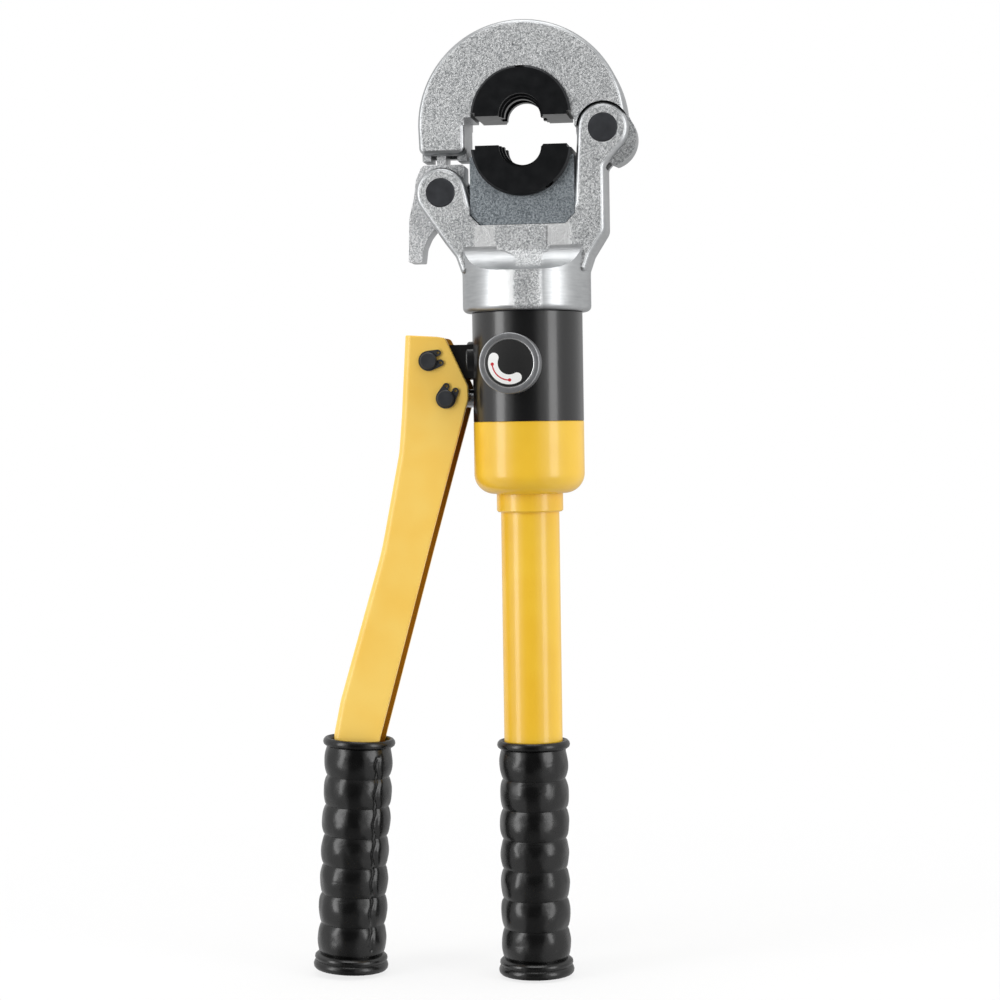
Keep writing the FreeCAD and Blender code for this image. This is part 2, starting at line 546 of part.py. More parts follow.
# ---------------------------------------------------------------- head
def fork_outline():
    waist = COLLAR_RADIUS
    inner = POCKET_HALF_WIDTH - 0.6
    return [(-waist + 1.5, COLLAR_TOP - 4, 2), (-waist - 1.6, COLLAR_TOP + 5, 4),
            (LATCH_X + 2.2, COLLAR_TOP + 12.5, 6), (LATCH_X, LATCH_Z, EAR_RADIUS, "ear"),
            (-inner, POCKET_Z + 9, 3), (inner, POCKET_Z + 9, 3),
            (HINGE_X, HINGE_Z, EAR_RADIUS, "ear"), (HINGE_X + 0.7, HINGE_Z - 20.3, 4),
            (HINGE_X + 0.7, COLLAR_TOP + 18, 7), (waist + 1.6, COLLAR_TOP + 5, 4),
            (waist - 1.5, COLLAR_TOP - 4, 2)]


def neck():
    """The forging's change from the round collar to the flat fork: a cone within a concave flare."""
    radius = COLLAR_RADIUS
    low = FLARE_Z - 1
    reach = 2 * radius
    cone = Part.makeCone(radius, radius + 3, POCKET_Z - low, V(0, 0, low), Z_AXIS)
    waist = HEAD_HALF + 0.2
    edges = []
    for side in (-1, 1):
        foot, bend, top = (V(-reach, side * y, z) for y, z in (
            (radius, FLARE_Z), (waist + 0.32 * (radius - waist), FLARE_Z + 0.36 * FLARE_HEIGHT),
            (waist, FLARE_Z + FLARE_HEIGHT)))
        edges += [Part.LineSegment(V(-reach, side * radius, low), foot).toShape(),
                  Part.Arc(foot, bend, top).toShape(),
                  Part.LineSegment(top, V(-reach, side * HEAD_HALF, POCKET_Z)).toShape()]
    for y, z in ((radius, low), (HEAD_HALF, POCKET_Z)):
        edges.append(Part.LineSegment(V(-reach, -y, z), V(-reach, y, z)).toShape())
    profile = Part.Face(Part.Wire(Part.__sortEdges__(edges)))
    return cone.common(profile.extrude(V(2 * reach, 0, 0)))


def pocket_shape(half_width, low, high, half_depth):
    """The ram's pocket, or the block that fills it: a plate with its two lower corners cut off."""
    side = low + POCKET_CHAMFER
    foot = half_width - POCKET_CHAMFER
    return plate([(-half_width, side, 0), (-foot, low, 0), (foot, low, 0), (half_width, side, 0),
                  (half_width, high, 0), (-half_width, high, 0)], -half_depth, half_depth)


def make_head_base():
    collar = cylinder(COLLAR_RADIUS, COLLAR_Z, FLARE_Z, "z")
    collar = collar.makeFillet(3.0, edges_on(collar, lambda p: abs(p.z - COLLAR_Z) < 0.01))
    fork = plate(fork_outline(), -HEAD_HALF, HEAD_HALF)
    rim = edges_on(fork, lambda p: abs(abs(p.y) - HEAD_HALF) < 0.01)
    fork = fork.makeFillet(LEG_FILLET, rim)
    head = collar.fuse(neck()).fuse(fork)
    for side in (-1, 1):
        y0, y1 = sorted((side * (HEAD_HALF - 4), side * (HEAD_HALF + PANEL_PROUD)))
        panel = box(PANEL_LEFT, PANEL_RIGHT, y0, y1, FLARE_Z + 3, POCKET_Z - 1.2)
        head = head.fuse(panel)
    cuts = [pocket_shape(POCKET_HALF_WIDTH, POCKET_Z, HINGE_Z + 40, HEAD_HALF + 5)]
    cuts.append(cylinder(SPIGOT_RADIUS + RUNNING, COLLAR_Z - 1, SPIGOT_TOP + 0.4, "z"))
    cuts.append(cylinder(SPRING_SEAT_RADIUS, SPIGOT_TOP, SPRING_SEAT_TOP, "z"))
    cuts.append(cylinder(ROD_DIAMETER / 2 + RUNNING, SPIGOT_TOP, POCKET_Z + 1, "z"))
    cuts.append(cylinder(SPIGOT_RADIUS + 1.6, SWIVEL_Z, SWIVEL_Z + SWIVEL_RING, "z"))
    cuts.append(cylinder(3.0, SPIGOT_RADIUS, 2 * COLLAR_RADIUS, "y", 0, SWIVEL_Z + SWIVEL_RING / 2))
    # slot for the jaw's knuckle, clear of the lobe as it turns
    cuts.append(box(POCKET_HALF_WIDTH - 5, HINGE_X + 40, -SLOT_HALF, SLOT_HALF,
                    HINGE_Z - LOBE_REACH - 0.4, HINGE_Z + 40))
    # slot for the latch
    cuts.append(cylinder(LATCH_HUB + 0.8, -SLOT_HALF, SLOT_HALF, "y", LATCH_X, LATCH_Z))
    cuts.append(box(LATCH_X - 40, -POCKET_HALF_WIDTH + 2, -SLOT_HALF, SLOT_HALF, LATCH_Z, LATCH_Z + 40))
    cuts.append(box(LATCH_X - 40, LATCH_X + 5, -SLOT_HALF, SLOT_HALF, COLLAR_TOP + 9, LATCH_Z))
    for x, z in ((HINGE_X, HINGE_Z), (LATCH_X, LATCH_Z)):
        cuts.append(cylinder(PIN_RADIUS, -HEAD_HALF - 1, HEAD_HALF + 1, "y", x, z))
    for tool in cuts:
        head = head.cut(tool)
    return head


def make_head_pin(x, z):
    pin = cylinder(PIN_RADIUS, -HEAD_HALF - 0.2, HEAD_HALF + 0.2, "y", x, z)
    return pin.makeChamfer(0.6, edges_on(pin, lambda p: abs(p.y) > HEAD_HALF))


def make_swivel_ring():
    whole = ring(SPIGOT_RADIUS + 1.6, SPIGOT_RADIUS - 1.4, SWIVEL_Z, SWIVEL_Z + SWIVEL_RING, "z")
    return whole.cut(box(-4, 4, -2 * COLLAR_RADIUS, 0, SWIVEL_Z - 1, SWIVEL_Z + SWIVEL_RING + 1))


def make_swivel_screw():
    start = SPIGOT_RADIUS + 1.6
    screw = cylinder(3.0, start, start + 6, "y", 0, SWIVEL_Z + SWIVEL_RING / 2)
    return screw.cut(cylinder(1.5, start + 3, start + 7, "y", 0, SWIVEL_Z + SWIVEL_RING / 2))


def make_ram_return_spring():
    low = PISTON_TOP + 0.1
    spring = coil(SPRING_RADIUS, SPRING_WIRE, SPRING_SEAT_TOP - low - 0.1, 4.5)
    spring.translate(V(0, 0, low))
    return spring


def jaw_blank():
    """The jaw's C shape before the seat, the recesses and the slots are cut."""
    top = JAW_CENTRE_Z
    half_disc = cylinder(JAW_RADIUS, -HEAD_HALF, HEAD_HALF, "y", 0, top)
    far = 2 * JAW_RADIUS
    half_disc = half_disc.cut(box(-far, far, -HEAD_HALF, HEAD_HALF, top - far, top))
    leg = plate([(JAW_LEG_OUTER_X, top, 0), (JAW_LEG_INNER_X, top, 0), (JAW_LEG_INNER_X, LEG_BOTTOM_Z, 4),
                 (JAW_LEG_OUTER_X + 0.6, LEG_BOTTOM_Z, 4)], -HEAD_HALF, HEAD_HALF)
    shoulder = box(0, JAW_RADIUS, -HEAD_HALF, HEAD_HALF, HINGE_Z - 1, top)
    blank = half_disc.fuse(leg).fuse(shoulder).removeSplitter()
    outer = edges_on(blank, lambda p: abs(abs(p.y) - HEAD_HALF) < 0.01
                     and (math.hypot(p.x, p.z - top) > JAW_RADIUS - 1.0 or p.x < JAW_LEG_INNER_X - 2
                          and p.z < top) and not (p.x > 10 and p.z < top - 0.1))
    return blank.makeFillet(JAW_FILLET, outer)


def make_upper_jaw():
    jaw = jaw_blank()
    bars = box(JAW_LEG_OUTER_X + 1.2, JAW_LEG_INNER_X, -TONGUE_HALF, TONGUE_HALF,
               LIP_BOTTOM_Z, LEG_BOTTOM_Z + 6)
    jaw = jaw.fuse(bars)
    # seat for the upper die, and the open throat under it
    seat = cylinder(DIE_SEAT_RADIUS, -HEAD_HALF - 1, HEAD_HALF + 1, "y", 0, UPPER_FACE_Z)
    jaw = jaw.cut(seat)
    jaw = jaw.cut(box(JAW_LEG_INNER_X, RAM_HALF_WIDTH + 0.4, -HEAD_HALF - 1, HEAD_HALF + 1,
                      LIP_BOTTOM_Z - 20, UPPER_FACE_Z))
    # cheeks end round the ear; the middle layer goes on as the knuckle
    far = 2 * JAW_RADIUS
    middle = jaw.common(box(-far, far, -TONGUE_HALF, TONGUE_HALF, 0, 2 * HINGE_Z))
    recess = cylinder(EAR_RADIUS + EAR_CLEAR, -HEAD_HALF - 1, HEAD_HALF + 1, "y", HINGE_X, HINGE_Z)
    recess = recess.fuse(box(POCKET_HALF_WIDTH - 2.5, HINGE_X + 30, -HEAD_HALF - 1, HEAD_HALF + 1,
                             LIP_BOTTOM_Z - 20, HINGE_Z + 1.5))
    jaw = jaw.cut(recess)
    keep = POCKET_HALF_WIDTH + 0.4
    middle = middle.common(box(keep - 0.2, far, -TONGUE_HALF, TONGUE_HALF, HINGE_Z - 40, HINGE_Z + 60))
    lobe = cylinder(LOBE_RADIUS, -TONGUE_HALF, TONGUE_HALF, "y", LOBE_X, LOBE_Z)
    hub = cylinder(HINGE_X - keep, -TONGUE_HALF, TONGUE_HALF, "y", HINGE_X, HINGE_Z)
    stop = box(HINGE_X - 60, keep, -TONGUE_HALF - 1, TONGUE_HALF + 1, HINGE_Z - 60, HINGE_Z + 60)
    shut = box(HINGE_X - 60, keep, -TONGUE_HALF - 1, TONGUE_HALF + 1, HINGE_Z - 60, HINGE_Z)
    open_stop = stop.copy()
    open_stop.rotate(V(HINGE_X, 0, HINGE_Z), Y_AXIS, -JAW_OPENING_ANGLE)
    lobe = lobe.cut(open_stop).cut(shut)
    root = middle.cut(cylinder(HINGE_X - keep - 0.5, -TONGUE_HALF - 1, TONGUE_HALF + 1, "y",
                               HINGE_X, HINGE_Z))
    root = root.common(box(-far, far, -TONGUE_HALF, TONGUE_HALF, HINGE_Z + 2, HINGE_Z + 60))
    jaw = jaw.fuse(root).fuse(lobe).fuse(hub)
    jaw = jaw.cut(cylinder(PIN_RADIUS + RUNNING, -HEAD_HALF - 1, HEAD_HALF + 1, "y", HINGE_X, HINGE_Z))
    # hollow for the latch's nose, with a lip for it to hold
    jaw = jaw.cut(box(HOOK_SLOT_LEFT, LIP_LEFT, -SLOT_HALF, SLOT_HALF, LIP_BOTTOM_Z - 5, NOSE_TOP_Z + 4.0))
    jaw = jaw.cut(box(HOOK_SLOT_LEFT, HOOK_SLOT_RIGHT, -SLOT_HALF, SLOT_HALF, LIP_TOP_Z, NOSE_TOP_Z + 4.0))
    # bore for the die's detent ball
    detent = UPPER_FACE_Z + DIE_SEAT_RADIUS
    return jaw.cut(cylinder(DETENT_RADIUS, detent - 2, detent + DETENT_DEPTH, "z"))


def detent_parts(angle, centre_z):
    """Ball and spring of a die detent, in a bore at this angle round the seat's axis."""
    seat = DIE_SEAT_RADIUS
    detent_ball = Part.makeSphere(DETENT_RADIUS - 0.02, V(0, 0, seat + DETENT_RADIUS - DETENT_PROUD))
    start = seat + 2 * DETENT_RADIUS - DETENT_PROUD + 0.1
    spring = coil(DETENT_RADIUS - 0.6, 0.7, seat + DETENT_DEPTH - start - 0.1, 5)
    spring.translate(V(0, 0, start))
    for shape in (detent_ball, spring):
        shape.rotate(V(0, 0, 0), Y_AXIS, angle)
        shape.translate(V(0, 0, centre_z))
    return detent_ball, spring


def make_die(face_z, up):
    """One half die: crimping ridges in the bore, stepped ends and a detent groove."""
    depth = DIE_DEPTH / 2
    die = cylinder(DIE_RADIUS, -depth, depth, "y", 0, face_z)
    die = die.makeChamfer(1.2, edges_on(die, lambda p: abs(abs(p.y) - depth) < 0.01))
    low, high = (face_z - 40, face_z) if up else (face_z, face_z + 40)
    die = die.cut(box(-40, 40, -depth - 1, depth + 1, low, high))
    ridge = depth / 4
    for radius, start, end in ((DIE_BORE_RADIUS, -depth - 1, depth + 1),
                               (DIE_BORE_RADIUS + 2.5, -ridge, ridge),
                               (DIE_BORE_RADIUS + 1.1, -3 * ridge, -2 * ridge),
                               (DIE_BORE_RADIUS + 1.1, 2 * ridge, 3 * ridge),
                               (DIE_BORE_RADIUS + 2.1, -depth - 1, -3 * ridge),
                               (DIE_BORE_RADIUS + 2.1, 3 * ridge, depth + 1)):
        die = die.cut(cylinder(radius, start, end, "y", 0, face_z))
    step = 2.0
    low, high = (face_z - 1, face_z + step) if up else (face_z - step, face_z + 1)
    for side in (-1, 1):
        x0, x1 = sorted((side * (DIE_RADIUS - 2.4), side * (DIE_RADIUS + 5)))
        die = die.cut(box(x0, x1, -depth - 1, depth + 1, low, high))
    groove = box(-DETENT_RADIUS, DETENT_RADIUS, -depth - 1, depth + 1, DIE_RADIUS - 1.2, DIE_RADIUS + 2)
    groove.rotate(V(0, 0, 0), Y_AXIS, 0 if up else LOWER_DETENT_ANGLE)
    groove.translate(V(0, 0, face_z))
    return die.cut(groove)


def make_ram_block():
    low = POCKET_Z + GAP
    block = pocket_shape(RAM_HALF_WIDTH, low, LOWER_FACE_Z - 5.5, RAM_HALF_DEPTH)
    block = block.cut(cylinder(DIE_SEAT_RADIUS, -HEAD_HALF - 1, HEAD_HALF + 1, "y", 0, LOWER_FACE_Z))
    block = block.cut(cylinder(BOLT_HEAD_RADIUS, BOLT_TOP - BOLT_HEAD_HEIGHT, BOLT_TOP + 4, "z"))
    block = block.cut(cylinder(BOLT_RADIUS, low - 1, BOLT_TOP, "z"))
    bore = cylinder(DETENT_RADIUS, DIE_SEAT_RADIUS - 2, DIE_SEAT_RADIUS + DETENT_DEPTH, "z")
    bore.rotate(V(0, 0, 0), Y_AXIS, LOWER_DETENT_ANGLE)
    bore.translate(V(0, 0, LOWER_FACE_Z))
    return block.cut(bore)


def make_latch():
    top = LATCH_Z + 15.9
    half = TONGUE_HALF
    latch = plate([(LATCH_X - 12.4, top - 2, 0), (LATCH_X - 10.5, top, 1), (LATCH_X + 12, top, 1.5),
                   (LATCH_X + 12, LATCH_Z + 6, 3), (LATCH_X + 8, LATCH_Z - 6, 3),
                   (LATCH_X - 4.5, LATCH_Z - 18.5, 4), (LATCH_X - 8.5, LATCH_Z - 23.5, 10),
                   (LATCH_X - 11, LATCH_Z - 29, 8), (LATCH_X - 12, LATCH_Z - 37, 0.8),
                   (LATCH_X - 19.4, LATCH_Z - 37, 0.8), (LATCH_X - 18.8, LATCH_Z - 13, 12),
                   (LATCH_X - 16.1, LATCH_Z - 2, 6), (LATCH_X - 14.8, LATCH_Z + 8, 8)], -half, half)
    latch = latch.fuse(cylinder(LATCH_HUB, -half, half, "y", LATCH_X, LATCH_Z))
    nose = plate([(LATCH_X - 2.9, top - 3, 0), (LATCH_X + 2.1, top - 3, 0),
                  (LATCH_X + 2.1, NOSE_UNDER_Z, 0.6), (LATCH_X + 6.3, NOSE_UNDER_Z, 0),
                  (LATCH_X + 4.2, NOSE_TOP_Z, 0.6), (LATCH_X - 2.9, NOSE_TOP_Z, 0.6)], -half, half)
    latch = latch.fuse(nose)
    latch = latch.cut(cylinder(PIN_RADIUS + RUNNING, -half - 1, half + 1, "y", LATCH_X, LATCH_Z))
    return latch.cut(cylinder(LATCH_SPRING_RADIUS + 0.9, half - 5, half + 1, "y", LATCH_X, LATCH_Z))


def make_latch_spring():
    spring = coil(LATCH_SPRING_RADIUS, LATCH_WIRE, 4.6, 3)
    spring.rotate(V(0, 0, 0), X_AXIS, -90)
    spring.translate(V(LATCH_X, TONGUE_HALF - 4.7, LATCH_Z))
    return spring


# ---------------------------------------------------------------- release knob
def make_knob():
    radius = KNOB_DIAMETER / 2
    knob = cylinder(radius, -KNOB_FRONT, -KNOB_BACK, "y", KNOB_X, KNOB_Z)
    knob = knob.makeFillet(1.0, edges_on(knob, lambda p: abs(p.y + KNOB_FRONT) < 0.01))
    knob = knob.cut(cylinder(LABEL_RADIUS, -KNOB_FRONT - 1, -KNOB_FRONT + LABEL_THICKNESS, "y",
                             KNOB_X, KNOB_Z))
    knob = knob.cut(cylinder(STEM_RADIUS, -KNOB_BACK - HUB_DEPTH, -KNOB_BACK + 1, "y", KNOB_X, KNOB_Z))
    screw_y = -KNOB_BACK - HUB_DEPTH / 2
    return knob.cut(cylinder(1.5, KNOB_Z, KNOB_Z + 30, "z", KNOB_X, screw_y))


def make_knob_label():
    return cylinder(LABEL_RADIUS, -KNOB_FRONT + 0.1, -KNOB_FRONT + LABEL_THICKNESS, "y", KNOB_X, KNOB_Z)


def make_valve_stem():
    stem = cylinder(STEM_RADIUS, -KNOB_BACK - HUB_DEPTH, VALVE_Y - 0.3, "y", KNOB_X, KNOB_Z)
    return stem.cut(ring(STEM_RADIUS, STEM_RADIUS - STEM_GROOVE, STEM_SEAL_Y, STEM_SEAL_END, "y",
                         KNOB_X, KNOB_Z))


def make_knob_set_screw():
    screw_y = -KNOB_BACK - HUB_DEPTH / 2
    return cylinder(1.5, KNOB_Z + STEM_RADIUS, KNOB_Z + 10, "z", KNOB_X, screw_y)


# ---------------------------------------------------------------- pump lever
def lever_outline():
    """Side outline of the lever channel, down its closed edge and up its open edge."""
    lean = math.tan(math.radians(GRIP_LEAN))
    end_z = GRIP_TOP_Z - PUMP_GRIP_LENGTH + TANG_END
    end_x = GRIP_TOP_X - (GRIP_TOP_Z - end_z) * lean
    half = TANG_WIDTH / 2
    left, right = GRIP_TOP_X - half, GRIP_TOP_X + half
    closed = [(PIVOT_X - 13.2, PIVOT_Z + 14.4, 0), (PIVOT_X - 15.9, PIVOT_Z - 30, 60),
              (PIVOT_X - 17.6, PIVOT_Z - 50, 60), (PIVOT_X - 28.2, PIVOT_Z - 104, 200),
              (left + 1.9, GRIP_TOP_Z + 21.5, 25), (left - 2.0, GRIP_TOP_Z + 3, 12),
              (left - 1.8, GRIP_TOP_Z - 14, 12), (end_x - half, end_z, 0)]
    opened = [(end_x + half, end_z, 0), (right - 0.6, GRIP_TOP_Z - 14, 12),
              (right + 3.3, GRIP_TOP_Z + 2, 12), (right + 8.7, GRIP_TOP_Z + 21.5, 25),
              (PIVOT_X - 1.9, PIVOT_Z - 104, 200), (PIVOT_X + 11.6, PIVOT_Z - 56, 60),
              (PIVOT_X + 21.6, PIVOT_Z - 21, 9), (PIVOT_X + 21.4, PIVOT_Z - 14, 4),
              (PIVOT_X + 9.2, PIVOT_Z + 12.4, 3), (PIVOT_X + 4.4, PIVOT_Z + 13.2, 3)]
    return closed + opened


def lever_blank():
    """The lever as if solid, with its bends and edges rounded; it also shapes the grip's bore."""
    blank = plate(lever_outline(), -LEVER_HALF, LEVER_HALF)
    outer = edges_on(blank, lambda p: abs(abs(p.y) - LEVER_HALF) < 0.01)
    blank = blank.makeFillet(LEVER_BEND, [edge for edge in outer if closed_side(edge.CenterOfMass)])
    opened = edges_on(blank, lambda p: abs(abs(p.y) - LEVER_HALF) < 0.01 and p.x > PIVOT_X
                      and p.z < PIVOT_Z + 11)
    return blank.makeFillet(LEVER_EDGE, opened)


def make_pump_lever(blank):
    closed = lever_outline()[:8]
    inside = plate([(x + LEVER_WALL * 1.02, z, r) for x, z, r in closed] +
                   [(BODY_RADIUS, closed[7][1] - 5, 0), (BODY_RADIUS, PIVOT_Z + 30, 0),
                    (PIVOT_X - 13.2 + LEVER_WALL, PIVOT_Z + 30, 0)],
                   -LEVER_INNER, LEVER_INNER)
    lever = blank.cut(inside)
    for x, z in ((PIVOT_X, PIVOT_Z), (DRIVE_X, DRIVE_Z)):
        lever = lever.cut(cylinder(LEVER_PIN_RADIUS, -LEVER_HALF - 1, LEVER_HALF + 1, "y", x, z))
    return lever


def closed_side(point):
    """True on the lever's web side, left of its middle line."""
    below = PIVOT_Z - point.z
    middle = PIVOT_X - 2 - max(0.0, below - 30) * 0.27
    return point.x < middle - 6 and point.z > TANG_END + 0.1


def make_pump_grip(blank):
    grip = turned(grip_profile(PUMP_GRIP_LENGTH))
    grip.translate(V(0, 0, -PUMP_GRIP_LENGTH))
    grip.rotate(V(0, 0, 0), Y_AXIS, GRIP_LEAN)
    grip.translate(V(GRIP_TOP_X, 0, GRIP_TOP_Z))
    return grip.cut(blank)


def make_lever_pin(x, z):
    reach = LEVER_HALF + PIN_PROUD
    pin = cylinder(LEVER_PIN_RADIUS, -reach, reach, "y", x, z)
    pin = pin.makeChamfer(0.5, edges_on(pin, lambda p: abs(p.y) > reach - 0.01))
    for side in (-1, 1):
        y0, y1 = sorted((side * LEVER_HALF, side * (LEVER_HALF + CLIP_THICKNESS)))
        pin = pin.cut(ring(LEVER_PIN_RADIUS + 1, CLIP_INNER, y0, y1, "y", x, z))
    return pin


def make_clips(x, z, opening):
    """Two external circlips, one on each flange, their gap at the angle opening."""
    lug = math.radians(CLIP_LUG_ANGLE)
    touch = lug + math.acos((CLIP_OUTER - CLIP_LUG_RADIUS) / CLIP_LUG_OUT)
    lug_x, lug_z = CLIP_LUG_OUT * math.cos(lug), CLIP_LUG_OUT * math.sin(lug)
    upper = [(CLIP_OUTER * math.cos(touch), CLIP_OUTER * math.sin(touch), 0),
             (lug_x + CLIP_LUG_RADIUS * math.cos(touch), lug_z + CLIP_LUG_RADIUS * math.sin(touch), 0),
             (lug_x, lug_z, 0)]
    web = upper + [(px, -pz, 0) for px, pz, radius in reversed(upper)]
    pair = []
    for side in (-1, 1):
        y0, y1 = sorted((side * LEVER_HALF, side * (LEVER_HALF + CLIP_THICKNESS)))
        clip = cylinder(CLIP_OUTER, y0, y1, "y").fuse(plate(web, y0, y1))
        for centre_z in (-lug_z, lug_z):
            clip = clip.fuse(cylinder(CLIP_LUG_RADIUS, y0, y1, "y", lug_x, centre_z))
        for centre_z in (-lug_z, lug_z):
            clip = clip.cut(cylinder(0.8, y0 - 1, y1 + 1, "y", lug_x + 0.2, centre_z))
        clip = clip.cut(cylinder(CLIP_INNER, y0, y1, "y"))
        clip = clip.cut(box(0, 20, y0 - 1, y1 + 1, -1.1, 1.1))
        clip.rotate(V(0, 0, 0), Y_AXIS, -opening)
        clip.translate(V(x, 0, z))
        pair += clip.Solids
    return Part.makeCompound(pair)


def make_spacers(x, z, inner_face):
    """Two plain spacers on a lever pin, between the flanges and what the pin goes through."""
    pair = []
    for side in (-1, 1):
        y0, y1 = sorted((side * LEVER_INNER, side * inner_face))
        pair.append(ring(LEVER_PIN_RADIUS + 2.5, LEVER_PIN_RADIUS, y0, y1, "y", x, z))
    return Part.makeCompound(pair)


# ---------------------------------------------------------------- build
def build():
    os.makedirs("parts", exist_ok=True)
    save("fixed_grip", make_fixed_grip())
    save("handle_tube", make_handle_tube())
    save("tube_end_plug", make_tube_end_plug())
    save("handle_socket", make_handle_socket())
    save("oil_bladder", make_oil_bladder())
    save("cylinder_body", make_cylinder_body())
    save("pump_lug", make_pump_lug())
    make_valves()
    save("pump_plunger", make_pump_plunger())

    save("head_base", make_head_base())
    save("hinge_pin", make_head_pin(HINGE_X, HINGE_Z))
    save("latch_pin", make_head_pin(LATCH_X, LATCH_Z))
    save("swivel_ring", make_swivel_ring())
    save("swivel_screw", make_swivel_screw())
    save("ram_return_spring", make_ram_return_spring())
    save("latch_lever", make_latch())
    save("latch_spring", make_latch_spring())
    save("upper_jaw", make_upper_jaw())
    save("upper_die", make_die(UPPER_FACE_Z, True))
    save("lower_die", make_die(LOWER_FACE_Z, False))
    for name, angle, face in (("upper", 0, UPPER_FACE_Z), ("lower", LOWER_DETENT_ANGLE, LOWER_FACE_Z)):
        detent_ball, spring = detent_parts(angle, face)
        save(name + "_detent_ball", detent_ball)
        save(name + "_detent_spring", spring)
    save("ram_block", make_ram_block())
    save("ram_bolt", make_ram_bolt())
    save("piston", make_piston())
    save("piston_seal", ring(BORE_RADIUS - 0.03, SEAL_INNER, SEAL_SPAN[0], SEAL_SPAN[1], "z"))
    save("piston_backup_ring", ring(BORE_RADIUS - RUNNING, SEAL_INNER, BACKUP_SPAN[0], BACKUP_SPAN[1], "z"))

    save("release_knob", make_knob())
    save("knob_label", make_knob_label())
    save("valve_stem", make_valve_stem())
    save("stem_seal", ring(STEM_RADIUS + 0.02, STEM_RADIUS - STEM_GROOVE, STEM_SEAL_Y, STEM_SEAL_END, "y",
                           KNOB_X, KNOB_Z))
    save("knob_set_screw", make_knob_set_screw())

    blank = lever_blank()
    save("pump_lever", make_pump_lever(blank))
    save("pump_grip", make_pump_grip(blank))
    save("lever_pivot_pin", make_lever_pin(PIVOT_X, PIVOT_Z))
    save("lever_pivot_clips", make_clips(PIVOT_X, PIVOT_Z, 15))
    save("plunger_pin", make_lever_pin(DRIVE_X, DRIVE_Z))
    save("plunger_pin_clips", make_clips(DRIVE_X, DRIVE_Z, 62))
    save("plunger_pin_spacers", make_spacers(DRIVE_X, DRIVE_Z, EYE_HALF + GAP))


build()
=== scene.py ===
# %% [markdown]
# # A hand-pumped press for pipe fittings
# The tool squeezes the sleeve of a pipe fitting between two half-round dies. A lever pumps oil
# from the handle into a ram, the ram lifts the lower die, and the C-shaped jaw holds the upper
# one. The engineering model comes in ready made. This lesson gives it its finishes, and remodels
# the pieces that need softer forms than a machinist's model has: the rubber grips, the release
# knob with its label, and the return spring, which has to shorten as the ram rises.

# %% Load the engineering model
import math

import bpy
from mathutils import Matrix, Vector
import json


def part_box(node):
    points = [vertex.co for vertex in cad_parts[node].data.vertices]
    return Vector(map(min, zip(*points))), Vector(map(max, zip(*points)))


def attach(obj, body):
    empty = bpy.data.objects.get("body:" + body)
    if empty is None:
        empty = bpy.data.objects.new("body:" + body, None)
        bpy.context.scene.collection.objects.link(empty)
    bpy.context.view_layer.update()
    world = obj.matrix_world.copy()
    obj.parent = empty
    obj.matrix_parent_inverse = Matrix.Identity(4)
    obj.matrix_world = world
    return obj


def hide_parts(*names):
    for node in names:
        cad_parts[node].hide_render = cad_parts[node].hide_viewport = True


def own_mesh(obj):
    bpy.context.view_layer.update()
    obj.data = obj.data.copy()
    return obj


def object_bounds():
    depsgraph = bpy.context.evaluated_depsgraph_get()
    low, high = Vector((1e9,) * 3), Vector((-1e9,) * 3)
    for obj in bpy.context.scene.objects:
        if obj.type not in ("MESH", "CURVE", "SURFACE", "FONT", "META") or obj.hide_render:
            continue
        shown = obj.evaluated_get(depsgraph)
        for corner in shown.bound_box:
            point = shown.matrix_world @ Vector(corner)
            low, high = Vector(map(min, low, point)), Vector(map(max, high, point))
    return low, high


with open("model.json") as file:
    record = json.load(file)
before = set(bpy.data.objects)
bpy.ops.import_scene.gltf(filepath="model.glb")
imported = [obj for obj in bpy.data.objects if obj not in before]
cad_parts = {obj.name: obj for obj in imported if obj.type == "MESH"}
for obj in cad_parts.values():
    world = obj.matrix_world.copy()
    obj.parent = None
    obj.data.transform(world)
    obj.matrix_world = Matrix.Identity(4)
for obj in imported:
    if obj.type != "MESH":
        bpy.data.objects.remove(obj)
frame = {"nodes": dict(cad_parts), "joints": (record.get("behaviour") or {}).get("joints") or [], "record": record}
MM = 0.001
cad_low, cad_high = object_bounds()
print("pieces of the model:", len(frame["nodes"]))
print("height in mm:", round((cad_high.z - cad_low.z) / MM, 1))

# %% [markdown]
# ## Camera
# A long lens from more than a metre away keeps the handles nearly parallel, as in a catalogue.
# The camera is level, a little to the right of the tool's front, and rolled by under a degree.
# A small lens shift frames the tool without tilting the camera, so upright edges stay upright.

# %% Camera
CAMERA_TURN = math.radians(7.5)
CAMERA_ROLL = math.radians(-0.84)
CAMERA_DISTANCE = 1.285
CAMERA_AIM = Vector((-0.016, 0.0, 0.2990))
LENS_LENGTH = 84.24
SENSOR_WIDTH = 36.0
LENS_SHIFT = -0.072

camera_data = bpy.data.cameras.new("catalogue_camera")
camera_data.lens = LENS_LENGTH
camera_data.sensor_width = SENSOR_WIDTH
camera_data.shift_y = LENS_SHIFT
camera = bpy.data.objects.new("catalogue_camera", camera_data)
bpy.context.scene.collection.objects.link(camera)
away = Vector((math.sin(CAMERA_TURN), -math.cos(CAMERA_TURN), 0.0))
camera.matrix_world = (Matrix.Translation(CAMERA_AIM + away * CAMERA_DISTANCE)
                       @ Matrix.Rotation(CAMERA_TURN, 4, "Z")
                       @ Matrix.Rotation(math.pi / 2, 4, "X")
                       @ Matrix.Rotation(CAMERA_ROLL, 4, "Z"))
bpy.context.scene.camera = camera
bpy.context.scene.view_settings.view_transform = "Standard"
print("camera at", [round(c, 3) for c in camera.matrix_world.translation])

# %% [markdown]
# ## Shader maths as Python
# A finish is a tree of nodes, and wiring maths nodes by hand hides the formula. One small class
# wraps a socket, so that `1 - mask * 0.3` adds the right nodes. A second class is the finish
# itself: its `node` method adds any other node from its type, its settings and its inputs.

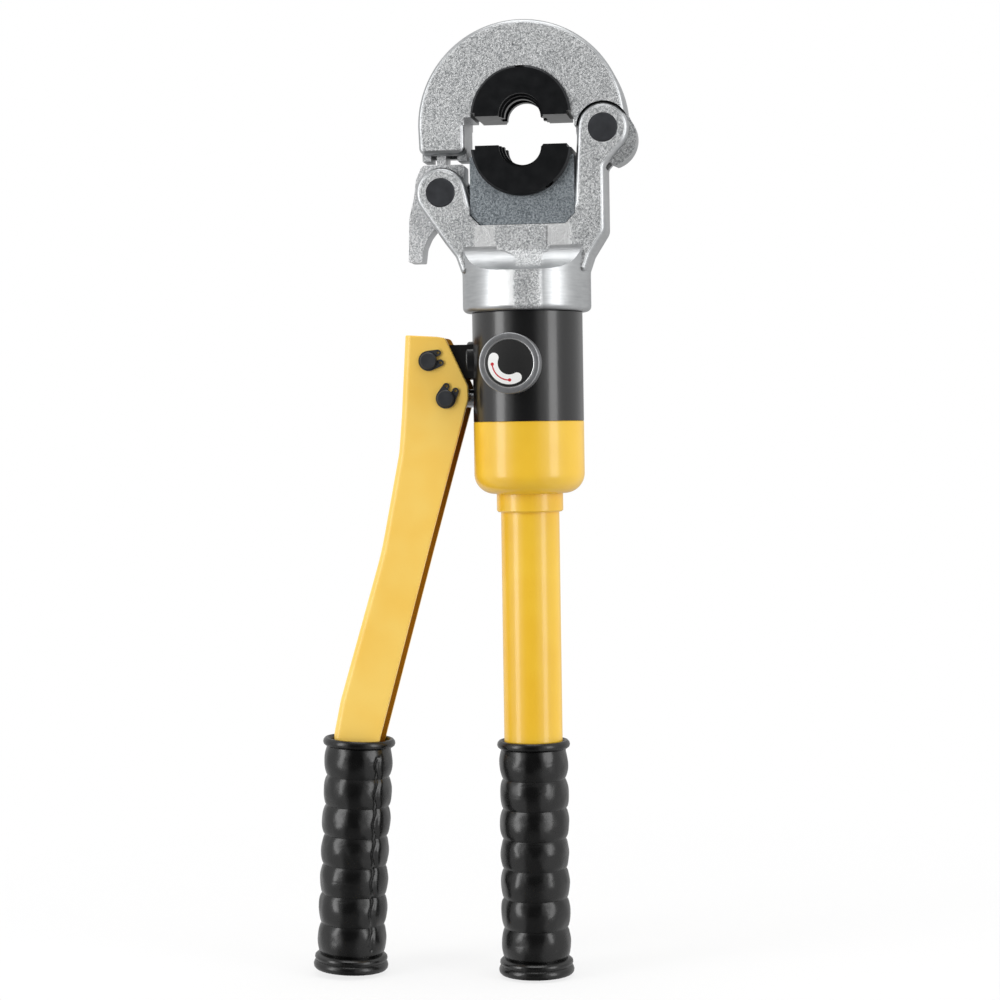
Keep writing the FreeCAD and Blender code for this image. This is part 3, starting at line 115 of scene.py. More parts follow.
# %% A socket that does arithmetic
class Wire:
    """One output socket of a finish, on which arithmetic adds maths nodes."""

    def __init__(self, finish, socket):
        self.finish = finish
        self.socket = socket

    def maths(self, operation, *terms):
        inputs = dict(enumerate(terms))
        return self.finish.node("ShaderNodeMath", {"operation": operation}, inputs)

    def __add__(self, other):
        return self.maths("ADD", self, other)

    def __sub__(self, other):
        return self.maths("SUBTRACT", self, other)

    def __rsub__(self, other):
        return self.maths("SUBTRACT", other, self)

    def __mul__(self, other):
        return self.maths("MULTIPLY", self, other)

    def __pow__(self, other):
        return self.maths("POWER", self, other)

    def __abs__(self):
        return self.maths("ABSOLUTE", self)

    def __lt__(self, other):
        return self.maths("LESS_THAN", self, other)

    def __gt__(self, other):
        return self.maths("GREATER_THAN", self, other)

    __radd__ = __add__
    __rmul__ = __mul__

    def ramp(self, low, high):
        """0 below low, 1 above high, smooth between them."""
        settings = {"interpolation_type": "SMOOTHSTEP"}
        return self.finish.node("ShaderNodeMapRange", settings, {0: self, 1: low, 2: high})


# %% A finish
class Finish:
    """A node material. Its shader's own sockets are set by name."""

    def __init__(self, name, **sockets):
        self.material = bpy.data.materials.new(name)
        self.material.use_nodes = True
        self.tree = self.material.node_tree
        self.shader = self.tree.nodes["Principled BSDF"]
        self.place = self.node("ShaderNodeTexCoord", {}, {}, "Object")
        for socket, value in sockets.items():
            self.give(socket.replace("_", " "), value)

    def node(self, kind, settings, inputs, output=0):
        """Adds a node: its type, its settings, its inputs by name or number, the output wanted."""
        added = self.tree.nodes.new(kind)
        for setting, value in settings.items():
            setattr(added, setting, value)
        for key, value in inputs.items():
            if isinstance(value, Wire):
                self.tree.links.new(value.socket, added.inputs[key])
            else:
                added.inputs[key].default_value = value
        return Wire(self, added.outputs[output])

    def give(self, socket, value):
        """Sets or links one socket of the shader."""
        if isinstance(value, Wire):
            self.tree.links.new(value.socket, self.shader.inputs[socket])
        else:
            self.shader.inputs[socket].default_value = value

    def axes(self, output="Object"):
        """The coordinates x, y and z of a point of the piece, or of its normal."""
        point = self.node("ShaderNodeTexCoord", {}, {}, output)
        split = self.node("ShaderNodeSeparateXYZ", {}, {0: point})
        outputs = split.socket.node.outputs
        return [Wire(self, outputs[index]) for index in range(3)]

    def noise(self, size, detail=2.0, rough=0.5, place=None):
        """Cloudy noise from 0 to 1 whose patches are about this size in metres."""
        inputs = {"Vector": place or self.place, "Scale": 1.0 / size, "Detail": detail,
                  "Roughness": rough}
        return self.node("ShaderNodeTexNoise", {}, inputs)

    def stretched(self, scale, rotation=(0.0, 0.0, 0.0)):
        """The piece's coordinates, turned and scaled, so that a noise on them is drawn out."""
        inputs = {"Vector": self.place, "Rotation": rotation, "Scale": scale}
        return self.node("ShaderNodeMapping", {}, inputs)

    def blend(self, factor, first, second):
        """A colour between two others."""
        inputs = {0: factor, 6: first, 7: second}
        return self.node("ShaderNodeMix", {"data_type": "RGBA"}, inputs, 2)

    def bump(self, height, depth, strength=1.0, under=None):
        """Tilts the surface as if height, from 0 to 1, were depth metres."""
        inputs = {"Height": height, "Distance": depth, "Strength": strength}
        if under is not None:
            inputs["Normal"] = under
        return self.node("ShaderNodeBump", {}, inputs)


def colour(code, alpha=1.0):
    """A linear colour from a hexadecimal one."""
    parts = [int(code[i:i + 2], 16) / 255 for i in (0, 2, 4)]
    linear = [p / 12.92 if p <= 0.04045 else ((p + 0.055) / 1.055) ** 2.4 for p in parts]
    return (*linear, alpha)


print("middle grey, linear:", [round(c, 3) for c in colour("808080")])

# %% [markdown]
# ## Floor and light
# A catalogue picture is lit by two tall soft boxes, left and right, with the dark camera side
# between them. On round, glossy parts that gives two bright bands with a dark band in the
# middle. The world does most of this: it is bright at the sides and behind, and dark in front.
# What the camera sees directly stays a pale, even white, so that every view has the same ground.
# The floor is a pale disc that is mostly clear and fades out, so it only carries soft shadows.

# %% Floor
FLOOR_RADIUS = 1.3
FLOOR_HEIGHT = -0.0012
FLOOR_OPACITY = 0.22
FADE_START, FADE_END = 0.05, 0.6

bpy.ops.object.select_all(action="DESELECT")
bpy.ops.mesh.primitive_circle_add(vertices=96, radius=FLOOR_RADIUS, fill_type="NGON",
                                  location=(0, 0, FLOOR_HEIGHT))
floor = bpy.context.object
floor.name = "pale_floor"
floor_finish = Finish("pale_floor", Roughness=0.9, Base_Color=(0.93, 0.93, 0.93, 1))
floor_x, floor_y, _ = floor_finish.axes()
far_out = (floor_x * floor_x + floor_y * floor_y) ** 0.5
floor_finish.give("Alpha", FLOOR_OPACITY * (1 - far_out.ramp(FADE_START, FADE_END)))
floor.data.materials.append(floor_finish.material)
print("floor radius in m:", FLOOR_RADIUS)

# %% World
DARK_SIDE, SIDE_BOX, BACK_WALL, CEILING = 0.06, 0.74, 0.5, 0.25

world = bpy.data.worlds.new("studio")
world.use_nodes = True
bpy.context.scene.world = world


class Sky(Finish):
    """The world's nodes, wired with the same arithmetic."""

    def __init__(self, tree):
        self.tree = tree
        self.shader = tree.nodes["Background"]


sky = Sky(world.node_tree)
east, north, up = sky.axes("Generated")
side_boxes = abs(east).ramp(0.34, 0.56)
behind = north.ramp(-0.1, 0.5)
overhead = up.ramp(0.35, 0.9)
brightness = (DARK_SIDE + side_boxes * SIDE_BOX + (1 - side_boxes) * behind * BACK_WALL
              + overhead * CEILING)
seen = sky.node("ShaderNodeLightPath", {}, {}, "Is Camera Ray")
sky.give("Color", (1.0, 1.0, 1.0, 1.0))
sky.give("Strength", brightness * (1 - seen) + seen)
print("world nodes:", len(world.node_tree.nodes))


# %% Soft boxes
def soft_box(name, place, aim, width, height, power):
    """A rectangular studio light that faces a point."""
    data = bpy.data.lights.new(name, "AREA")
    data.shape = "RECTANGLE"
    data.size = width
    data.size_y = height
    data.energy = power
    lamp = bpy.data.objects.new(name, data)
    bpy.context.scene.collection.objects.link(lamp)
    lamp.location = place
    lamp.rotation_euler = (aim - lamp.location).to_track_quat("-Z", "Y").to_euler()


middle_of_tool = (cad_low + cad_high) / 2
for name, place, width, height, power in (("left_box", (-1.15, -0.85, 0.55), 0.5, 1.4, 11.0),
                                          ("right_box", (1.25, -0.75, 0.5), 0.5, 1.4, 9.0),
                                          ("top_box", (0.0, -0.25, 1.7), 0.9, 0.9, 8.0)):
    soft_box(name, place, middle_of_tool, width, height, power)

# %% [markdown]
# ## Zinc-plated forging
# The head and the jaw are drop forged and zinc plated. The flat faces keep the die's coarse,
# sparkling skin, while the rolled edges and the flanks of the collar came out smooth. The mask
# is built from the piece's own shape: faces that look straight forwards or back are grainy.
# The neck differs. A grainy panel runs down its middle and narrows to a stripe on the collar,
# between two pads that are brighter and less grainy. Grain this fine is bump, not geometry.

# %% Forged zinc
GRAIN = 0.00105
PANEL_MIDDLE, STRIPE_MIDDLE = -0.001, 0.004
PANEL_REACH, STRIPE_REACH = 0.0144, 0.0072
SOFT_EDGE = 0.0014
PAD_OUTER = 0.0262
POCKET_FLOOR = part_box("ram_block")[0].z


def panel_mask(x, ny, z):
    """1 where the neck's front keeps its forged skin: a panel that narrows to a stripe below."""
    aside = 1 - z.ramp(POCKET_FLOOR - 0.020, POCKET_FLOOR - 0.008)
    widening = z.ramp(POCKET_FLOOR - 0.018, POCKET_FLOOR - 0.012)
    middle = PANEL_MIDDLE + (STRIPE_MIDDLE - PANEL_MIDDLE) * aside
    reach = STRIPE_REACH + (PANEL_REACH - STRIPE_REACH) * widening
    outside = (abs(x - middle) - reach).ramp(-SOFT_EDGE, SOFT_EDGE)
    return (1 - outside) * abs(ny).ramp(0.35, 0.6)


def pad_mask(x):
    """1 between the outer edges of the neck's two pads."""
    return 1 - abs(x).ramp(PAD_OUTER - 0.0016, PAD_OUTER + 0.0012)


def forged_zinc(name, light, dark, grain_depth, neck=False):
    """Bright zinc over a forged skin, grainy on its flat faces and smooth on its edges."""
    finish = Finish(name, Metallic=1.0)
    x, _, z = finish.axes()
    _, ny, _ = finish.axes("Normal")
    grainy = abs(ny).ramp(0.93, 0.985)
    shine = 0.0
    if neck:
        below = 1 - z.ramp(POCKET_FLOOR - 0.001, POCKET_FLOOR + 0.0006)
        panel = panel_mask(x, ny, z) * below
        pads = below * pad_mask(x) * grainy * (1 - panel)
        grainy = grainy.maths("MAXIMUM", grainy - pads * 0.3, panel)
        shine = pads * 0.9
    warp = finish.noise(0.004, 2.0)
    place = finish.node("ShaderNodeVectorMath", {"operation": "MULTIPLY_ADD"},
                        {0: warp, 1: (0.002, 0.002, 0.002), 2: finish.place})
    coarse = finish.noise(GRAIN, 4.0, 0.68, place)
    fine = finish.noise(GRAIN * 0.35, 2.0, 0.6, place)
    cloud = finish.noise(0.018, 2.0)
    brushed = finish.noise(0.0012, 2.0, 0.6, finish.stretched((0.12, 0.12, 1.0)))
    speckle = (coarse * 0.6 + fine * 0.4).ramp(0.40, 0.60)
    forged = grainy * (speckle * 0.75 + cloud * 0.25)
    smooth = (1 - grainy) * (0.08 + cloud * 0.25 + brushed * 0.25)
    tone = shine + forged + smooth
    finish.give("Base Color", finish.blend(tone, dark, light))
    finish.give("Roughness", 0.36 + grainy * (0.06 + speckle * 0.10) + cloud * 0.06)
    sand = finish.bump((coarse * 0.7 + fine * 0.3) * grainy, grain_depth, 1.0)
    ripple = finish.bump(finish.noise(0.006, 1.0), 0.00012, 0.5, sand)
    finish.give("Normal", finish.bump(brushed * (1 - grainy), 0.00008, 0.9, ripple))
    return finish.material


BRIGHT_ZINC, DULL_ZINC = colour("F0F1F1"), colour("7E8184")
FORGED_DEPTH = 0.00042
zinc_forging = forged_zinc("zinc_forging", BRIGHT_ZINC, DULL_ZINC, FORGED_DEPTH)
zinc_neck = forged_zinc("zinc_neck", BRIGHT_ZINC, DULL_ZINC, FORGED_DEPTH, neck=True)
zinc_latch = forged_zinc("zinc_latch", colour("FFFFFF"), colour("9A9DA0"), 0.00040)
print("forged zinc nodes:", len(zinc_forging.node_tree.nodes))

# %% [markdown]
# ## The ram block
# The block under the lower die is a different steel and takes the plating darker and bluer,
# with a finer grain. It is the same recipe with other colours, so the function is used again.

# %% Dark zinc on the ram block
zinc_block = forged_zinc("zinc_block", colour("BDC4C9"), colour("666E74"), 0.00024)
print("zinc finishes:", [m.name for m in (zinc_forging, zinc_neck, zinc_latch, zinc_block)])

# %% [markdown]
# ## Paint
# The handle and the lever are powder coated in a warm, glossy yellow. Powder coat flows as it
# cures and leaves a faint orange peel, a fraction of a millimetre deep in waves of a few
# millimetres. Its colour deepens slightly where the film is thicker. A coat layer gives the
# clear, hard shine on top. The lever's paint is more matt than the tube's. The lever is a folded
# channel, and its inside is painted a deeper amber: painted shade where its walls shade each other.


# %% Powder coat
# How far the painted shade inside the lever's channel reaches from its middle, and the normal below which the
# web's back is left out.
CHANNEL_REACH = 0.0091
WEB_BACK = -0.3


def powder_coat(name, thin, thick, roughness, coat, inside=None):
    """Gloss paint with orange peel; inside is a painted shade colour for the inside of the lever's channel."""
    finish = Finish(name, Coat_Weight=coat, Coat_Roughness=0.12, Specular_IOR_Level=0.5)
    film = finish.noise(0.03, 2.0)
    peel = finish.noise(0.0022, 1.0)
    dust = finish.noise(0.0005, 1.0)
    paint = finish.blend(film.ramp(0.25, 0.75), thin, thick)
    if inside:
        _, y, _ = finish.axes()
        nx, _, _ = finish.axes("Normal")
        # Painted shade: faces inside the lever's channel, but not the web's back, take the inside colour.
        paint = finish.blend((abs(y) < CHANNEL_REACH) * (nx > WEB_BACK), paint, inside)
    finish.give("Base Color", paint)
    finish.give("Roughness", roughness + film * 0.08 + dust * 0.03)
    finish.give("Normal", finish.bump(peel, 0.00006, 0.5))
    return finish.material


yellow_paint = powder_coat("yellow_paint", colour("FACB3C"), colour("F4C030"), 0.28, 0.30)
# The lever's third colour, B87A08, is painted shade for the inside of its channel.
lever_paint = powder_coat("lever_paint", colour("FFD76C"), colour("FCCC58"), 0.40, 0.22,
                          colour("B87A08"))
black_paint = powder_coat("black_paint", colour("141415"), colour("0F0F10"), 0.24, 0.34)
print("paints:", [m.name for m in (yellow_paint, lever_paint, black_paint)])

# %% [markdown]
# ## Rubber
# The grips are dipped black rubber, glossy where hands polish it, with fine scuffs that only
# show in the reflections. A very small noise in roughness reads as handled rubber. Two bumps lie
# under the scuffs: a soft wrinkle, and faint slanted folds where a stretched noise is near its
# middle value, which gives thin wandering lines.

# %% Dipped rubber
rubber = Finish("black_rubber", Base_Color=colour("060606"), Specular_IOR_Level=0.5)
hand_wear = rubber.noise(0.011, 3.0)
scuffs = rubber.noise(0.0009, 2.0)
rubber.give("Roughness", 0.17 + hand_wear * 0.14 + scuffs * 0.05)
wrinkle = rubber.bump(rubber.noise(0.0045, 2.0), 0.00022, 0.5)
slanted = rubber.stretched((0.4, 0.4, 1.5), rotation=(0.0, 0.35, 0.0))
fold = abs(rubber.noise(0.016, 1.0, 0.5, slanted) - 0.5).ramp(0.0, 0.05)
creased = rubber.bump(fold, 0.00012, 0.35, wrinkle)
rubber.give("Normal", rubber.bump(scuffs, 0.00002, 0.5, creased))
black_rubber = rubber.material
print("rubber nodes:", len(black_rubber.node_tree.nodes))

# %% [markdown]
# ## Blackened and ground steel
# Dies, pins and circlips are black-oxide steel: dark, slightly oily, with a metal's reflection.
# Ground parts, such as the ram's rod, carry fine turning lines around their axis.


# %% Steels
def blackened_steel(name, light, dark, roughness):
    """Black oxide with faint clouds and a fine machined grain."""
    finish = Finish(name, Metallic=0.75, Specular_IOR_Level=0.5)
    cloud = finish.noise(0.006, 3.0)
    grain = finish.noise(0.0006, 2.0)
    finish.give("Base Color", finish.blend(cloud, dark, light))
    finish.give("Roughness", roughness + cloud * 0.10 + grain * 0.06)
    finish.give("Normal", finish.bump(grain, 0.00002, 0.5))
    return finish.material


def ground_steel(name, light, dark, roughness, line):
    """Turned or ground metal with fine rings across the tool's axis."""
    finish = Finish(name, Metallic=1.0)
    lines = finish.noise(line, 2.0, 0.6, finish.stretched((0.06, 0.06, 1.0)))
    finish.give("Base Color", finish.blend(lines, dark, light))
    finish.give("Roughness", roughness + lines * 0.12)
    finish.give("Normal", finish.bump(lines, 0.00002, 0.5))
    return finish.material


die_black = blackened_steel("die_black", colour("37383A"), colour("202123"), 0.24)
pin_black = blackened_steel("pin_black", colour("54565A"), colour("38393C"), 0.38)
screw_black = blackened_steel("screw_black", colour("303134"), colour("1C1D1F"), 0.40)
bright_steel = ground_steel("bright_steel", colour("D4D6D8"), colour("9DA0A4"), 0.20, 0.0006)
spring_steel = ground_steel("spring_steel", colour("8E9195"), colour("5C5F64"), 0.30, 0.0010)
brass = ground_steel("filter_brass", colour("D9B36A"), colour("A57C37"), 0.35, 0.0008)
print("steels:", [m.name for m in (die_black, pin_black, bright_steel, spring_steel)])

# %% [markdown]
# ## Seals
# Seals are hidden inside, but they show when the tool is taken apart, so they have honest
# finishes too: matt nitrile rubber and white PTFE.


# %% Seals
def moulded(name, light, dark, roughness):
    """Matt moulded rubber or plastic with a faint mould texture."""
    finish = Finish(name, Specular_IOR_Level=0.4)
    mottle = finish.noise(0.002, 3.0)
    finish.give("Base Color", finish.blend(mottle, dark, light))
    finish.give("Roughness", roughness + mottle * 0.1)
    finish.give("Normal", finish.bump(mottle, 0.00003, 0.5))
    return finish.material


seal_rubber = moulded("seal_rubber", colour("2A2A2B"), colour("1A1A1B"), 0.55)
seal_plastic = moulded("seal_plastic", colour("EDEBE4"), colour("DAD7CE"), 0.45)
print("seals:", seal_rubber.name, seal_plastic.name)

# %% [markdown]
# ## Give every piece its finish
# The record lists a material slot for each piece. One table turns slots into the finishes
# above, and one loop puts them on. A second loop gives five pieces a finish of their own: the
# dies are glossier than the pins, and the neck, the latch and the lever have their own variants.

# %% Finishes by slot
SLOT_FINISH = {
    "zinc_forging": zinc_forging, "zinc_block": zinc_block, "yellow_paint": yellow_paint,
    "black_paint": black_paint, "black_rubber": black_rubber, "black_oxide": pin_black,
    "knob_finish": pin_black, "label_film": die_black, "bright_steel": bright_steel,
    "dark_screws": screw_black, "spring_steel": spring_steel, "seal_rubber": seal_rubber,
    "seal_plastic": seal_plastic, "filter_brass": brass,
}


def set_finish(piece, material):
    """Puts one finish on every material slot of a piece."""
    if not piece.material_slots:
        piece.data.materials.append(material)
    for holder in piece.material_slots:
        holder.link = "OBJECT"
        holder.material = material


for part in frame["record"]["subparts"]:
    set_finish(frame["nodes"][part["node"]], SLOT_FINISH[part["material_slot"]])
for name, material in (("upper_die", die_black), ("lower_die", die_black), ("head_base", zinc_neck),
                       ("latch_lever", zinc_latch), ("pump_lever", lever_paint)):
    set_finish(frame["nodes"][name], material)

# %% [markdown]
# ## Modelling helpers
# Every new piece starts as a primitive and is shaped in edit mode. Operators act on all that is
# selected, so a helper clears the selection first, and another picks vertices, edges or faces
# by where they are.


# %% Helpers
def alone(piece):
    """Selects one piece and nothing else."""
    bpy.ops.object.select_all(action="DESELECT")
    piece.select_set(True)
    bpy.context.view_layer.objects.active = piece


def pick(piece, kind, test):
    """In edit mode, selects only the vertices, edges or faces of a piece that pass a test."""
    bpy.ops.mesh.select_mode(type={"vertices": "VERT", "edges": "EDGE", "polygons": "FACE"}[kind])
    bpy.ops.mesh.select_all(action="DESELECT")
    bpy.ops.object.mode_set(mode="OBJECT")
    mesh = piece.data
    count = 0
    for element in getattr(mesh, kind):
        if kind == "vertices":
            chosen = test(element.co)
        elif kind == "edges":
            ends = [mesh.vertices[i].co for i in element.vertices]
            chosen = test(ends[0], ends[1])
        else:
            chosen = test(element.center, element.normal)
        element.select = chosen
        count += chosen
    bpy.ops.object.mode_set(mode="EDIT")
    return count


def into_place(piece, matrix):
    """Moves a piece by a matrix and bakes that into its mesh, so its object is at the origin."""
    alone(piece)
    piece.matrix_world = matrix @ piece.matrix_world
    bpy.ops.object.transform_apply(location=True, rotation=True, scale=True)


def finished(piece, name, body, slot, material, *stands_for):
    """Names a piece, smooths it, gives it its finish and says what it rides on and replaces."""
    piece.name = name
    piece.data.name = name
    alone(piece)
    bpy.ops.object.shade_smooth_by_angle(angle=math.radians(32))
    set_finish(piece, material)
    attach(piece, body)
    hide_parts(*stands_for)
    print(name, "faces:", len(piece.data.polygons))


# %% [markdown]
# ## The rubber grips
# Both grips are dipped over their handles, with seven soft rings, a thick flange at the bottom
# and a rolled bead at the top. They could be turned from a profile in one step, but a lathe's
# form looks too perfect. Here a circle is extruded upwards ring by ring and resized each time,
# and then a cloudy displacement makes each ring a little uneven, as dipped rubber is.

# %% Profile of one grip
GRIP_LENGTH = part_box("fixed_grip")[1].z
RINGS = 7
FLANGE_TOP = 0.0090
BEAD_BOTTOM = GRIP_LENGTH - 0.0050
PITCH = (BEAD_BOTTOM - FLANGE_TOP) / RINGS
VALLEY, CREST = 0.0172, 0.0189
ROUNDNESS = 0.62
STEPS = 12


def grip_rows():
    """Radius and height of each row of vertices, from the bottom face to inside the top bead."""
    rows = [(0.0183, 0.0), (0.0196, 0.0003), (0.0204, 0.0012), (0.02065, 0.0026), (0.0202, 0.0040),
            (0.01945, 0.0047), (0.0197, 0.0054), (0.0201, 0.0064), (0.0199, 0.0074),
            (0.0191, 0.0082), (0.0181, 0.0087)]
    for ring in range(RINGS):
        for step in range(STEPS):
            share = step / STEPS
            swell = math.sin(math.pi * share) ** ROUNDNESS
            rows.append((VALLEY + (CREST - VALLEY) * swell, FLANGE_TOP + PITCH * (ring + share)))
    rows += [(0.0177, BEAD_BOTTOM), (0.0186, BEAD_BOTTOM + 0.0004), (0.0196, BEAD_BOTTOM + 0.0012),
             (0.0200, BEAD_BOTTOM + 0.0024), (0.0197, BEAD_BOTTOM + 0.0037),
             (0.0188, BEAD_BOTTOM + 0.0047), (0.0178, BEAD_BOTTOM + 0.0049),
             (0.0169, BEAD_BOTTOM + 0.0043), (0.0163, BEAD_BOTTOM + 0.0030),
             (0.0158, BEAD_BOTTOM + 0.0012)]
    return rows


rows = grip_rows()
print("rows in a grip:", len(rows), "over", round(GRIP_LENGTH / MM, 1), "mm")

# %% Extrude the grip row by row
bpy.ops.object.select_all(action="DESELECT")
bpy.ops.mesh.primitive_circle_add(vertices=112, radius=rows[0][0], fill_type="NOTHING")
grip = bpy.context.object
bpy.ops.object.mode_set(mode="EDIT")
bpy.ops.mesh.select_all(action="SELECT")
bpy.ops.mesh.extrude_region_move()
bpy.ops.transform.resize(value=(0.55, 0.55, 1.0))
bpy.ops.mesh.edge_face_add()
bpy.ops.mesh.inset(thickness=0.0006)
bpy.ops.transform.translate(value=(0, 0, 0.0012))
pick(grip, "edges", lambda a, b: min(a.xy.length, b.xy.length) > rows[0][0] * 0.99)
for (radius, height), (wider, higher) in zip(rows, rows[1:]):
    bpy.ops.mesh.extrude_region_move(TRANSFORM_OT_translate={"value": (0, 0, higher - height)})
    bpy.ops.transform.resize(value=(wider / radius, wider / radius, 1.0))
bpy.ops.mesh.edge_face_add()
bpy.ops.mesh.inset(thickness=0.002)
bpy.ops.object.mode_set(mode="OBJECT")
print("grip vertices:", len(grip.data.vertices))

# %% [markdown]
# ### Uneven rubber
# A displacement along the normals from a clouds texture moves the skin by a few tenths of a
# millimetre. The bottom face is left flat, because the tool stands on it, so a vertex group
# limits the modifier. The modifier is applied, and the mesh keeps the result.

# %% Displace and copy
clouds = bpy.data.textures.new("rubber_clouds", "CLOUDS")
clouds.noise_scale = 0.011
clouds.noise_depth = 1
soft_part = grip.vertex_groups.new(name="soft_part")
soft_part.add([v.index for v in grip.data.vertices if 0.010 < v.co.z < BEAD_BOTTOM], 1.0, "REPLACE")
alone(grip)
uneven = grip.modifiers.new("uneven", "DISPLACE")
uneven.texture = clouds
uneven.texture_coords = "LOCAL"
uneven.vertex_group = soft_part.name
uneven.strength = 0.0011
uneven.mid_level = 0.5
bpy.ops.object.modifier_apply(modifier=uneven.name)
pump_grip_skin = grip.copy()
pump_grip_skin.data = grip.data.copy()
bpy.context.scene.collection.objects.link(pump_grip_skin)
finished(grip, "fixed_grip_skin", "body", "black_rubber", black_rubber, "fixed_grip")

# %% [markdown]
# ### The crease over the lever's edge
# Inside the second grip is a square channel, and the rubber is pulled tight over one of its
# edges. That leaves a crease that wanders down the rings. Vertices near the crease are picked
# by their angle and pressed in along their normals.

# %% Crease and place the pump grip
CREASE_ANGLE = math.radians(-43)
CREASE_WANDER = 0.06
LEAN = math.radians(3.0)
PUMP_GRIP_TOP = Vector((-0.097, 0.0, 0.129))


def on_crease(place, width):
    """True near the wandering line of the crease."""
    phase = (place.z - FLANGE_TOP) / PITCH
    line = CREASE_ANGLE + CREASE_WANDER * math.cos(2 * math.pi * phase)
    beside = abs(math.atan2(place.y, place.x) - line)
    return FLANGE_TOP + 0.004 < place.z < BEAD_BOTTOM - 0.004 and beside < width


alone(pump_grip_skin)
bpy.ops.object.mode_set(mode="EDIT")
for width, depth in ((0.09, -0.00045), (0.045, -0.0004)):
    pressed = pick(pump_grip_skin, "vertices", lambda place: on_crease(place, width))
    print("crease vertices:", pressed)
    bpy.ops.transform.shrink_fatten(value=depth)
bpy.ops.object.mode_set(mode="OBJECT")
hang = Matrix.Translation((0, 0, -GRIP_LENGTH))
into_place(pump_grip_skin,
           Matrix.Translation(PUMP_GRIP_TOP) @ Matrix.Rotation(LEAN, 4, "Y") @ hang)
finished(pump_grip_skin, "pump_grip_skin", "lever", "black_rubber", black_rubber, "pump_grip")

# %% [markdown]
# ## The release knob
# The knob opens the valve that lets the oil back. It is a turned aluminium disc with a rounded
# rim and a recess for the label. It could be spun from a profile. Here a cylinder's face is
# inset, extruded back in and bevelled instead, because each step is then a size of its own.

# %% Knob
knob_low, knob_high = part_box("release_knob")
knob_middle = (knob_low + knob_high) / 2
KNOB_RADIUS = (knob_high.x - knob_low.x) / 2
KNOB_DEPTH = knob_high.y - knob_low.y
RECESS_RADIUS = 0.0130
RECESS_DEPTH = 0.0006
LIP_BEVEL, RIM_BEVEL = 0.0003, 0.0007
face_forward = Matrix.Translation(knob_middle) @ Matrix.Rotation(math.pi / 2, 4, "X")
bpy.ops.object.select_all(action="DESELECT")
bpy.ops.mesh.primitive_cylinder_add(vertices=128, radius=KNOB_RADIUS, depth=KNOB_DEPTH)
knob = bpy.context.object
bpy.ops.object.mode_set(mode="EDIT")
pick(knob, "polygons", lambda centre, normal: normal.z > 0.9)
bpy.ops.mesh.inset(thickness=KNOB_RADIUS - RECESS_RADIUS)
bpy.ops.mesh.extrude_region_move(TRANSFORM_OT_translate={"value": (0, 0, -RECESS_DEPTH)})
pick(knob, "edges", lambda a, b: min(a.z, b.z) > KNOB_DEPTH / 2 - 1e-5
     and max(a.xy.length, b.xy.length) < RECESS_RADIUS + 0.0002)
bpy.ops.mesh.bevel(offset=LIP_BEVEL, segments=2)
pick(knob, "edges", lambda a, b: abs(a.z - b.z) < 1e-6
     and min(a.xy.length, b.xy.length) > KNOB_RADIUS - 0.0004)
bpy.ops.mesh.bevel(offset=RIM_BEVEL, segments=4)
bpy.ops.object.mode_set(mode="OBJECT")
into_place(knob, face_forward)

# %% [markdown]
# The knob is bead blasted and anodised dark, with a bright machined line round the label. The
# finish draws that line from the distance to the knob's axis.

# %% Knob finish
LIP_WIDTH = 0.00064
FACE_DEPTH = 0.0011

anodised = Finish("knob_anodised", Metallic=0.85)
knob_x, knob_y, knob_z = anodised.axes()
across, upward = knob_x - knob_middle.x, knob_z - knob_middle.z
from_axis = (across * across + upward * upward) ** 0.5
blasted = anodised.noise(0.0004, 2.0)
wear = anodised.noise(0.004, 3.0)
on_lip = abs(from_axis - RECESS_RADIUS) < LIP_WIDTH / 2
bright_line = on_lip * (knob_y < knob_low.y + FACE_DEPTH)
worn = anodised.blend(wear, colour("8E8F91"), colour("A9AAAC"))
anodised.give("Base Color", anodised.blend(bright_line, worn, colour("F2F2F2")))
anodised.give("Roughness", 0.36 + wear * 0.10 - bright_line * 0.1)
anodised.give("Normal", anodised.bump(blasted, 0.00003, 0.5))
finished(knob, "release_knob_turned", "knob", "knob_finish", anodised.material, "release_knob")

# %% [markdown]
# ## The label
# The label is a printed disc under the knob's rim. Words are left out: a white arc shows which
# way the knob turns, with a red double-ended line on it. The print has no thickness, so it
# belongs in the finish. An arc with round ends is the set of points near a circle between two
# angles, together with a dot at each end.


# %% Label
def with_dots(mask, across, upward, radius, size, angles):
    """Adds a round dot to a mask at each of the angles, in degrees, on a circle."""
    for angle in map(math.radians, angles):
        dx, dz = across - radius * math.cos(angle), upward - radius * math.sin(angle)
        mask = mask.maths("MAXIMUM", mask, (dx * dx + dz * dz) ** 0.5 < size)
    return mask


def arc_mask(across, upward, radius, half_width, first, last):
    """1 on an arc with round ends, from angle first to angle last, anticlockwise, in degrees."""
    from_axis = (across * across + upward * upward) ** 0.5
    middle, reach = math.radians((first + last) / 2), math.radians((last - first) / 2)
    along = across * math.cos(middle) + upward * math.sin(middle)
    beside = upward * math.cos(middle) - across * math.sin(middle)
    turn = along.maths("ARCTAN2", beside, along)
    mask = (abs(from_axis - radius) < half_width) * (abs(turn) < reach)
    return with_dots(mask, across, upward, radius, half_width, (first, last))


LABEL_GAP = 0.00035
LABEL_BEVEL = 0.00012
label_low, label_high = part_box("knob_label")
bpy.ops.object.select_all(action="DESELECT")
bpy.ops.mesh.primitive_cylinder_add(vertices=96, radius=RECESS_RADIUS - LABEL_GAP,
                                    depth=label_high.y - label_low.y)
label = bpy.context.object
bpy.ops.object.mode_set(mode="EDIT")
pick(label, "edges", lambda a, b: a.z > 0 and b.z > 0)
bpy.ops.mesh.bevel(offset=LABEL_BEVEL, segments=2)
bpy.ops.object.mode_set(mode="OBJECT")
label_middle = (label_low + label_high) / 2
into_place(label, Matrix.Translation(label_middle) @ Matrix.Rotation(math.pi / 2, 4, "X"))

